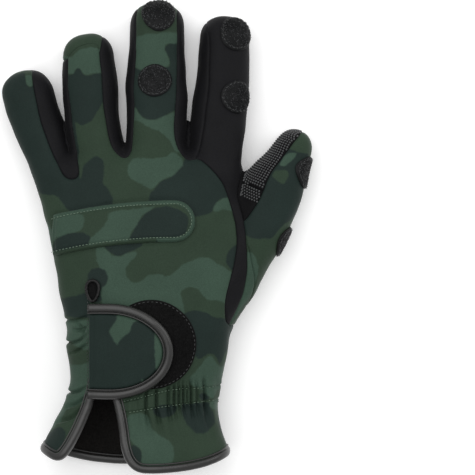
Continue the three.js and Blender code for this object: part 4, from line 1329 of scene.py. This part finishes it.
def bumped(tree, shader, *layers):
    """Bump from (height output, strength, depth in millimetres), the coarsest first."""
    normal = None
    for height, strength, depth in layers:
        inputs = [("Height", height), ("Strength", strength), ("Distance", depth * MM)]
        if normal is not None:
            inputs.append(("Normal", normal))
        normal = node(tree, "Bump", inputs).outputs[0]
    tree.links.new(normal, shader.inputs["Normal"])


LIGHT = paint(53, 71, 60)
GREEN = paint(42, 56, 44)
DARK = paint(29, 40, 37)
SOFT_EDGE = 0.45


def knit_height(tree, where, size):
    """A fine jersey face: short slanted loops in rows."""
    wave = node(tree, "TexWave", [("Vector", where), ("Scale", 1 / (size * MM) / 3.14), ("Distortion", 2.5),
                                  ("Detail", 1.0), ("Detail Scale", 2.0)], bands_direction="X")
    fine = noise(tree, where, size * 0.7, 1)
    return node(tree, "Math", [(0, wave.outputs["Fac"]), (1, fine)], operation="MULTIPLY").outputs[0]


def shaded(tree, where, shader, tone, *noises):
    """Gives the shader a tone that two noises, each (size, detail, low, high), make uneven."""
    fine, coarse = [mapped(tree, noise(tree, where, size, detail), 0.3, 0.7, low, high)
                    for size, detail, low, high in noises]
    shade = node(tree, "Math", [(0, fine), (1, coarse)], operation="MULTIPLY").outputs[0]
    final = node(tree, "VectorMath", [(0, tone), ("Scale", shade)], operation="SCALE").outputs[0]
    tree.links.new(final, shader.inputs["Base Color"])


def camouflage():
    material, tree, shader, where = start_material("camouflage_jersey", 0.6, 0.08, 0.1, (0.85, 1, 0.9, 1))
    ragged = mapped(tree, noise(tree, where, 3.2, 3), 0.25, 0.75, -0.45, 0.45)
    colour = GREEN
    for label, tone in (("dark", DARK), ("light", LIGHT), ("green", GREEN)):
        depth = node(tree, "Attribute", attribute_name=label).outputs["Fac"]
        edge = node(tree, "Math", [(0, depth), (1, ragged)], operation="ADD").outputs[0]
        colour = mixed(tree, mapped(tree, edge, -SOFT_EDGE, SOFT_EDGE), colour, tone)
    shaded(tree, where, shader, colour, (0.55, 2, 0.86, 1.14), (22, 3, 0.93, 1.08))
    bumped(tree, shader, (noise(tree, where, 5, 3), 0.25, 0.5), (knit_height(tree, where, 0.7), 0.35, 0.15))
    return material


def cloth(name, tone, roughness, specular, sheen, grain=0.6, speckle=0.2, depth=0.15):
    """A plain fabric: one colour with a fine grain and slightly uneven surface."""
    material, tree, shader, where = start_material(name, roughness, specular, sheen)
    shaded(tree, where, shader, tone[:3], (grain, 2, 1 - speckle, 1 + speckle), (18, 3, 0.9, 1.12))
    folded = (noise(tree, where, 5, 3), 0.2, 0.4)
    bumped(tree, shader, folded, (knit_height(tree, where, grain), 0.4, depth))
    return material


CAMOUFLAGE_JERSEY = camouflage()
BLACK_JERSEY = cloth("black_jersey", paint(20, 20, 22), 0.6, 0.08, 0.03)
LINING = cloth("black_lining", paint(26, 25, 24), 0.9, 0.03, 0.0, grain=0.9, speckle=0.3)
GRIP_CLOTH = cloth("grip_cloth", paint(16, 16, 17), 0.75, 0.05, 0.0)
GRIP_RUBBER = cloth("grip_rubber", paint(56, 57, 58), 0.3, 0.5, 0.0, speckle=0.08, depth=0.02)
SATIN_BINDING = cloth("satin_binding", paint(31, 31, 30), 0.34, 0.5, 0.0, grain=0.5, depth=0.05)
LOOP_FELT = cloth("loop_felt", paint(20, 20, 20), 0.95, 0.03, 0.03, grain=0.8, speckle=0.3)
HOOK_FELT = cloth("hook_felt", paint(16, 17, 18), 0.45, 0.12, 0.0, grain=0.7, speckle=0.35)
HOOK_GLINT = cloth("hook_glint", paint(70, 71, 73), 0.3, 0.5, 0.0, grain=0.4)
DARK_THREAD = cloth("dark_thread", paint(58, 60, 60), 0.5, 0.3, 0.1, grain=0.3)
PALE_THREAD = cloth("pale_thread", paint(94, 112, 96), 0.6, 0.2, 0.1, grain=0.3)
TAN_THREAD = cloth("tan_thread", paint(104, 90, 68), 0.6, 0.2, 0.1, grain=0.3)
BLACK_CORD = cloth("black_cord", paint(10, 10, 10), 0.45, 0.25, 0.0, grain=0.5)


# The panels of cloth

skin = divide_skin()
skin.relax(PANEL_ROUNDS)
skin.refine_seams(SEAM_REACH)
skin.refine(puckered(skin.points, *WIDE_REACH))
skin.refine(puckered(skin.points, *NARROW_REACH))
skin_out = out_of_skin(skin.points)
seam_distance = line_distances(skin.points, skin.lines(with_rim=False))
at_tip = np.clip(1.5 * skin_out[:, 1] - 0.3, 0, 1)
skin_drop = seam_drop(seam_distance) * (1 - TIP_SEAM_EASE * at_tip)
skin_top = over_cloth(skin.points, skin_out, skin_drop)
skin_inner = skin.points - skin_out * WALL

BLACK = ("black_neoprene", BLACK_JERSEY, None)
GRIP = ("grip_mesh", GRIP_CLOTH, None)
BACK = ("camo_fabric", CAMOUFLAGE_JERSEY, "back")
THUMB_BACK = ("camo_fabric", CAMOUFLAGE_JERSEY, "thumb")
PANELS = {
    "palm_panel": BLACK, "index_tip_palm": BLACK, "middle_tip_palm": BLACK, "side_grip": GRIP,
    "back_panel": BACK, "fourchette_pinky_ring": BLACK, "fourchette_ring_middle": BLACK,
    "fourchette_middle_index": BLACK, "index_back": BLACK, "ring_tip_band": BACK, "thumb_grip": GRIP,
    "thumb_tip_grip": GRIP, "thumb_gusset": THUMB_BACK, "thumb_back": THUMB_BACK,
}


def floor_lattice(outline, pitch):
    """A hexagonal lattice under the glove, brought onto its skin."""
    x, y = hexagonal(outline.min(axis=0), outline.max(axis=0), pitch)
    return onto_skin(np.stack([x.ravel(), y.ravel(), np.full(x.size, -0.5)], axis=1), 6)


def wall_lattice(tube, pitch):
    """A hexagonal lattice up the side of a tube that faces the fingers, and over its tip."""
    step = pitch * ROW_STEP
    cap_length = tube.length - tube.cap
    stations = [(along, 1) for along in np.arange(tube.cap, 0.1 * tube.length, -step)[::-1]]
    for turn in np.arange(step, cap_length * math.pi / 2, step) / cap_length:
        stations.append((tube.cap + cap_length * math.sin(turn), math.cos(turn)))
    angles = np.radians(np.arange(-95, 100, 1.0))
    rows = []
    for number, (along, share) in enumerate(stations):
        left, right, top = section(tube, along)
        across = (right - left) / 2 - share * (left + right) / 2 * np.cos(angles)
        rise = (top - SOLE_FLAT) / 2 + share * (top + SOLE_FLAT) / 2 * np.sin(angles)
        plan = tube.root + tube.ahead * along + tube.aside * across[:, None]
        ring = onto_skin(np.column_stack([plan, rise]), 5)
        run = np.concatenate([[0], np.cumsum(np.linalg.norm(np.diff(ring, axis=0), axis=1))])
        at = np.arange(pitch * (0.25 + 0.5 * (number % 2)), run[-1], pitch)
        rows.append(np.stack([np.interp(at, run, column) for column in ring.T], axis=1))
    return onto_skin(np.vstack(rows), 2)


GRIP_PITCH = 1.6
GRIP_MARGIN = 0.65
RUBBER_RADIUS = 0.62
RUBBER_HEIGHT = 0.55
CAP_MARGIN = 0.5
BARE_BELOW = 0.625
BARE_OVER = 11
SIDE_GRIP_BOX = [(-70, -125), (0, 25)]


def grip_places():
    """Where the rubber dots sit on each of the three pieces of grip cloth."""
    ball = floor_lattice(THENAR, GRIP_PITCH)
    ball = ball[(ball[:, 2] < 3) & (grip_zone(ball) > GRIP_MARGIN)]
    wall = wall_lattice(THUMB, GRIP_PITCH)
    bare = (along_digit(THUMB, wall)[0] < BARE_BELOW) & (wall[:, 2] > BARE_OVER)
    wall = wall[(wall[:, 2] >= 3) & (grip_zone(wall) > GRIP_MARGIN) & ~bare]
    both = np.vstack([ball, wall])
    both = both[np.abs(body_distance(both)) < ON_SKIN]
    tip = cap_zone(THUMB, CAP_LINE["thumb"])(both)
    side = floor_lattice(np.array(SIDE_GRIP_BOX, float), GRIP_PITCH)
    inside = np.minimum(in_plan(SIDE_GRIP)(side), -above_side_seam(side)) > GRIP_MARGIN
    side = side[inside & (edge_zone(BINDING_WIDTH)(side) < 0) & (np.abs(body_distance(side)) < ON_SKIN)]
    return {"thumb_grip": both[tip < -CAP_MARGIN], "thumb_tip_grip": both[tip > CAP_MARGIN],
            "side_grip": side}


def make_panels():
    rubber = grip_places()
    for name, (slot, material, chart) in PANELS.items():
        used, number = np.unique(skin.faces[skin.label == name], return_inverse=True)
        faces = number.reshape(-1, 3)
        points, everything, slots, hard = thickened(skin_top[used], skin_inner[used], faces)
        attributes = {}
        if chart:
            pattern = pattern_places(skin.points[used], skin_out[used])
            for tone, depth in camouflage_of(chart, pattern).items():
                attributes[tone] = np.concatenate([depth, depth])
        materials = [material, LINING]
        if name in rubber:
            base = rubber[name]
            out = out_of_skin(base)
            dots = domes(over_cloth(base, out), out, RUBBER_RADIUS, RUBBER_HEIGHT)
            points, everything, slots = joined((points, everything, slots), (*dots, 2))
            materials.append(GRIP_RUBBER)
        nodes = [] if name == "ring_tip_band" else [name]
        piece = make_piece(name + "_cloth", points, everything, materials, slots, hard, attributes)
        settle(piece, slot, *nodes)


make_panels()


# Bound edges

# Across a bound edge, from the cloth's side: (width, height). A stitched ridge, its groove, the roll
BINDING_PROFILE = [
    (-2.65, -0.25), (-2.62, 0.35), (-2.4, 0.66), (-2.05, 0.66), (-1.8, 0.35), (-1.68, -0.1), (-1.5, -0.1),
    (-1.3, 0.55), (-0.9, 0.92), (-0.2, 1.1), (0.7, 1.1), (1.6, 0.85), (2.25, 0.35), (2.6, -0.45),
    (2.65, -1.3)]
STRAP_UNDERSIDE = [(2.6, -2.2), (2.2, -2.4), (0, -2.4), (-2.3, -2.4), (-2.6, -2.1)]


def cuff_profile():
    """Rolled over the edge of the wall: the same on the inner side as on the outer."""
    upper = np.array(BINDING_PROFILE)
    lower = upper[::-1].copy()
    lower[:, 1] = -WALL - lower[:, 1]
    return np.vstack([upper[:-1], lower])


def rim_loop(points, faces):
    """The net's rim as one closed line."""
    after = dict(rim_of(faces).tolist())
    start = next(iter(after))
    loop = [start]
    while after[loop[-1]] != start:
        loop.append(after[loop[-1]])
    return points[loop]


def frames_along(path, out, closed):
    """Directions across a path, in the surface whose outward directions are given."""
    return unit(np.cross(course(path, closed), out))


def make_cuff_binding():
    path = resampled(rim_loop(skin.points, skin.faces), 0.9, closed=True)
    path = blurred(path, 2.0, closed=True)
    path = onto_skin(path, 2)
    out = unit(blurred(out_of_skin(path), 2.0, closed=True))
    side = frames_along(path, out, closed=True)
    fold = blurred(folds(path, out), 1.5, closed=True)
    points, faces = swept(path + out * fold[:, None], side, out, cuff_profile())
    settle(make_piece("cuff_binding_band", points, faces, [SATIN_BINDING]), "binding", "cuff_binding")


make_cuff_binding()


def make_strap():
    line = resampled(strap_outline(BINDING_WIDTH / 2), 0.9)
    base, out = drop_on_skin(line)
    path = over_cloth(base, out, STRAP_LIFT + STRAP_THICKNESS)
    side = -frames_along(path, out, closed=False)
    points, faces = swept(path, side, out, BINDING_PROFILE + STRAP_UNDERSIDE, closed=False)
    settle(make_piece("strap_binding_band", points, faces, [SATIN_BINDING]), "binding", "strap_binding")

    def profile(depth, plan):
        sewn = plan[:, 0] - on_palm(*STRAP_CORNER)[0]
        crown = 0.35 * (1 - np.exp(-depth / 6))
        return rounded_edge(depth, STRAP_THICKNESS, 1.6) + crown - 0.5 * bell(sewn - 2.6, 0.6)

    inner = strap_outline(BINDING_WIDTH - 0.25)
    points, faces, slots, hard, pattern = laid_patch(inner, 1.1, STRAP_LIFT, profile)
    piece = make_piece("strap_cloth", points, faces, [CAMOUFLAGE_JERSEY, LINING], slots, hard,
                       camouflage_of("strap", pattern))
    settle(piece, "camo_fabric", "strap")


def make_knuckle_strip():
    def profile(depth, plan):
        height = rounded_edge(depth, KNUCKLE_STRIP_THICKNESS, 1.5)
        inner = np.clip(depth - STRIP_STITCH_INSET, 0, 9)
        return height - 0.65 * bell(depth - STRIP_STITCH_INSET, 0.5) + 0.35 * (1 - np.exp(-inner / 3))

    points, faces, slots, hard, pattern = laid_patch(STRIP_OUTLINE, 0.8, LIFT, profile)
    tones = camouflage_of("strip", pattern)
    # Painted highlight on the border outside the stitch line: light tone along the top and the right end,
    # green along the lower left. It is partly the lighter folded edge of the cloth and partly light caught
    # by the raised edge.
    border = -inside_distance(strip_outline(STRIP_STITCH_INSET), points)
    middle = on_palm(0, STRIP_LEVEL)[1] - 9
    upper = np.minimum(border, np.maximum(points[:, 1] - middle, points[:, 0] - 10))
    tones["light"] = np.maximum(tones["light"], upper)
    tones["green"] = np.where(upper < 0, border - 0.2, tones["green"])
    count = len(points)
    height = LIFT + KNUCKLE_STRIP_THICKNESS - 0.25
    line = stitched_line(strip_outline(STRIP_STITCH_INSET), STRIP_THREAD, height)
    points, faces, slots = joined((points, faces, slots), (*line, 2))
    threads = np.full(len(points) - count, OUTSIDE)
    tones = {tone: np.concatenate([depth, threads]) for tone, depth in tones.items()}
    materials = [CAMOUFLAGE_JERSEY, LINING, PALE_THREAD]
    piece = make_piece("knuckle_strip_pad", points, faces, materials, slots, hard, tones)
    settle(piece, "camo_fabric", "knuckle_strip")


def fuzz_on(plan_low, plan_high, keep, density, lift, height, seed, view=FROM_ABOVE, thickness=0.09):
    """Random hairs on a flat piece: where keep(plan) is true, density to a square millimetre."""
    draw = np.random.default_rng(seed)
    span = np.asarray(plan_high, float) - plan_low
    plan = draw.random((int(span.prod() * density), 2)) * span + plan_low
    plan = plan[keep(plan)]
    base, out, _ = pressed(plan, view)
    lean = unit(out + draw.normal(size=out.shape) * HAIR_LEAN)
    return strands(over_cloth(base, out, lift), lean, height, thickness, seed)


def make_loop_pad():
    def profile(depth, plan):
        return rounded_edge(depth, PAD_THICKNESS, 0.9)

    points, faces, slots, hard, _ = laid_patch(PAD_OUTLINE, 1.3, LIFT, profile)

    def shown(plan):
        in_pad = inside_distance(PAD_OUTLINE, plan) > 0.6
        return in_pad & (inside_distance(STRAP_OUTLINE, plan) < 0.3)

    centre, radius = on_palm(*PAD_CENTRE), PAD_DIAMETER / 2
    top = LIFT + PAD_THICKNESS
    hairs = fuzz_on(centre - radius, centre + radius, shown, 5, top - 0.1, 0.55, 11)
    line = stitched_line(circle(centre, radius - 1.1), PAD_THREAD, top, closed=True)
    points, faces, slots = joined((points, faces, slots), (*hairs, 0), (*line, 2))
    piece = make_piece("loop_pad_felt", points, faces, [LOOP_FELT, LINING, DARK_THREAD], slots, hard)
    settle(piece, "loop_fabric", "loop_pad")


# turn leans a dot to the thumb's side and pitch leans it to the tip; along and across are shares
DOTS = [
    ("dot_middle_tip", MIDDLE, 0.81, 0, 0, 50), ("dot_middle_mid", MIDDLE, 0.562, -0.03, -2, 0),
    ("dot_index_tip", INDEX, 0.82, 0.08, 32, 32), ("dot_index_mid", INDEX, 0.532, 0.05, 40, 0),
    ("dot_thumb_tip", THUMB, 0.82, 0, 78, 10), ("dot_thumb_mid", THUMB, 0.51, 0, 80, 0),
]


# A dot's dark hairs and its glints: bare border, number to a square millimetre, height, first seed
# and thickness
DOT_HAIRS = [(1.7, 5, 0.6, 20, 0.09), (0.5, 0.75, 0.7, 40, 0.16)]


def dot_view(digit, along, across, turn, pitch):
    """The direction from which a dot is pressed onto its digit, as for drop_on_skin."""
    turn, pitch = math.radians(turn), math.radians(pitch)
    aside = np.array([*digit.aside, 0])
    ahead = np.array([*digit.ahead, 0])
    up = aside * math.sin(turn) * math.cos(pitch) + ahead * math.sin(pitch)
    up = up + np.array([0, 0, math.cos(turn) * math.cos(pitch)])
    centre = np.array([*on_digit(digit, along, across), digit.height / 2])
    right = unit(np.cross(ahead, up))
    return SimpleNamespace(foot=centre + up * 28, right=right, ahead=np.cross(up, right), up=up)


def make_dots():
    radius = DOT_DIAMETER / 2
    top = LIFT + DOT_THICKNESS

    def profile(depth, plan):
        return rounded_edge(depth, DOT_THICKNESS, 0.8) - 0.25 * bell(depth - 1.2, 0.4)

    for seed, (name, *place) in enumerate(DOTS):
        view = dot_view(*place)
        points, faces, slots, hard, _ = laid_patch(circle((0, 0), radius), 0.8, LIFT, profile, view)
        hairs, glints = [
            fuzz_on((-radius, -radius), (radius, radius), lambda plan: np.hypot(*plan.T) < radius - border,
                    density, top - 0.1, height, first + seed, view, thickness)
            for border, density, height, first, thickness in DOT_HAIRS]
        line = stitched_line(circle((0, 0), radius - 1.2), DOT_THREAD, top, True, view)
        points, faces, slots = joined((points, faces, slots), (*hairs, 0), (*line, 2), (*glints, 3))
        materials = [HOOK_FELT, LINING, DARK_THREAD, HOOK_GLINT]
        piece = make_piece(name + "_felt", points, faces, materials, slots, hard)
        settle(piece, "hook_fabric", name)


LOOP_FOOT_SHARE = 0.6
LOOP_ACROSS = -0.235
LOOP_STEPS = 96
CORD_SIDES = 12


def make_pull_loop():
    radius = LOOP_CORD / 2
    turn = turns(LOOP_STEPS)
    share = (1 - np.cos(turn)) / 2
    taper = LOOP_FOOT_SHARE + (1 - LOOP_FOOT_SHARE) * share
    foot = np.array([LOOP_ACROSS * PALM_WIDTH,
                     on_palm(*STRAP_CORNER)[1] + STRAP_WIDTH / 2 + LIFT + radius])
    plan = foot + np.stack([(LOOP_WIDTH / 2 - radius) * np.sin(turn) * taper,
                            (LOOP_LENGTH - 2 * radius) * share], axis=1)
    base, out = drop_on_skin(plan)
    path = over_cloth(base, out, 2 * LIFT + radius)
    side = frames_along(path, out, closed=True)
    angles = turns(CORD_SIDES)
    points, faces = swept(path, side, out, radius * compass(angles))
    centre = np.repeat(path, CORD_SIDES, axis=0)
    twist = np.cos(3 * np.tile(angles, LOOP_STEPS) + np.repeat(turn, CORD_SIDES) * 14)
    points = centre + (points - centre) * (1 + 0.08 * twist)[:, None]
    # A dark felt sheet fills the loop: partly the inner face of its tape, partly painted shade inside the
    # loop
    inner_tape_and_shade = laid_patch(plan, 0.7, 0.1, lambda depth, _: 0.5 + 0 * depth)
    points, faces, slots = joined((points, faces, 0), (*inner_tape_and_shade[:2], 1))
    piece = make_piece("pull_loop_cord", points, faces, [BLACK_CORD, LOOP_FELT], slots)
    settle(piece, "binding", "pull_loop")


def make_row_stitches():
    """Two rows of stitches hold the elastic at the wrist, on the back and under the palm, and one
    row sews the strap on."""
    parts = []
    for row in (UPPER_ROW, LOWER_ROW):
        line = row_line(row)
        line = line[line[:, 0] > -8.5]
        parts.append((*stitched_line(line, ROW_THREAD, ROW_LIFT), 0))
    seam_x, seam_y = on_palm(*STRAP_CORNER)
    sewn = np.array([[seam_x - 1.6, seam_y - 27.5], [seam_x - 1.6, seam_y + 27.5]])
    parts.append((*stitched_line(sewn, STRAP_THREAD, ROW_LIFT), 2))
    for row in (PALM_UPPER_ROW, PALM_LOWER_ROW):
        parts.append((*stitched_line(row_line(row), PALM_THREAD, ROW_LIFT, view=FROM_BELOW), 1))
    points, faces, slots = joined(*parts)
    piece = make_piece("elastic_stitches", points, faces, [PALE_THREAD, TAN_THREAD, DARK_THREAD], slots)
    settle(piece, "binding")


make_strap()
make_knuckle_strip()
make_loop_pad()
make_dots()
make_pull_loop()
make_row_stitches()


# Floor, light and camera

FLOOR_LEVEL = -0.0012
FLOOR_REACH = 3
CAMERA_PLACE = (0.0522, 0.0013, 1.0)
CAMERA_LENS = 138.8
# Lights: place, size and power
TOP_LIGHT = ((-0.25, 0.35, 1.3), 1.5, 12)
SIDE_LIGHT = ((1.2, 0.5, 0.9), 0.9, 5.5)
LIGHT_TARGET = (0.0, 0.0, 0.02)
WORLD_STRENGTH = 0.6
WHITE = (1, 1, 1, 1)


def make_floor():
    mesh = bpy.data.meshes.new("floor")
    plan = ((-FLOOR_REACH, -FLOOR_REACH), (FLOOR_REACH, -FLOOR_REACH), (FLOOR_REACH, FLOOR_REACH),
            (-FLOOR_REACH, FLOOR_REACH))
    mesh.from_pydata([(x, y, FLOOR_LEVEL) for x, y in plan], [], [(0, 1, 2, 3)])
    material = bpy.data.materials.new("pale_floor")
    material.use_nodes = True
    shader = material.node_tree.nodes["Principled BSDF"]
    shader.inputs["Base Color"].default_value = WHITE
    shader.inputs["Roughness"].default_value = 0.9
    shader.inputs["Specular IOR Level"].default_value = 0.1
    shader.inputs["Emission Color"].default_value = WHITE
    shader.inputs["Emission Strength"].default_value = 0.12
    mesh.materials.append(material)
    floor = placed("floor", mesh)


def make_light(name, place, size, power):
    data = bpy.data.lights.new(name, "AREA")
    data.shape = "SQUARE"
    data.size = size
    data.energy = power
    light = placed(name, data)
    light.location = place
    light.rotation_euler = (Vector(place) - Vector(LIGHT_TARGET)).to_track_quat("Z", "Y").to_euler()


def make_camera():
    data = bpy.data.cameras.new("camera")
    data.sensor_width = 36
    data.lens = CAMERA_LENS
    data.clip_start = 0.01
    camera = placed("camera", data)
    camera.location = CAMERA_PLACE
    bpy.context.scene.camera = camera


make_floor()
make_light("top_light", *TOP_LIGHT)
make_light("side_light", *SIDE_LIGHT)
make_camera()
world = bpy.data.worlds.new("studio")
world.use_nodes = True
background = world.node_tree.nodes["Background"]
background.inputs["Color"].default_value = WHITE
background.inputs["Strength"].default_value = WORLD_STRENGTH
bpy.context.scene.world = world
bpy.context.scene.view_settings.view_transform = "Standard"
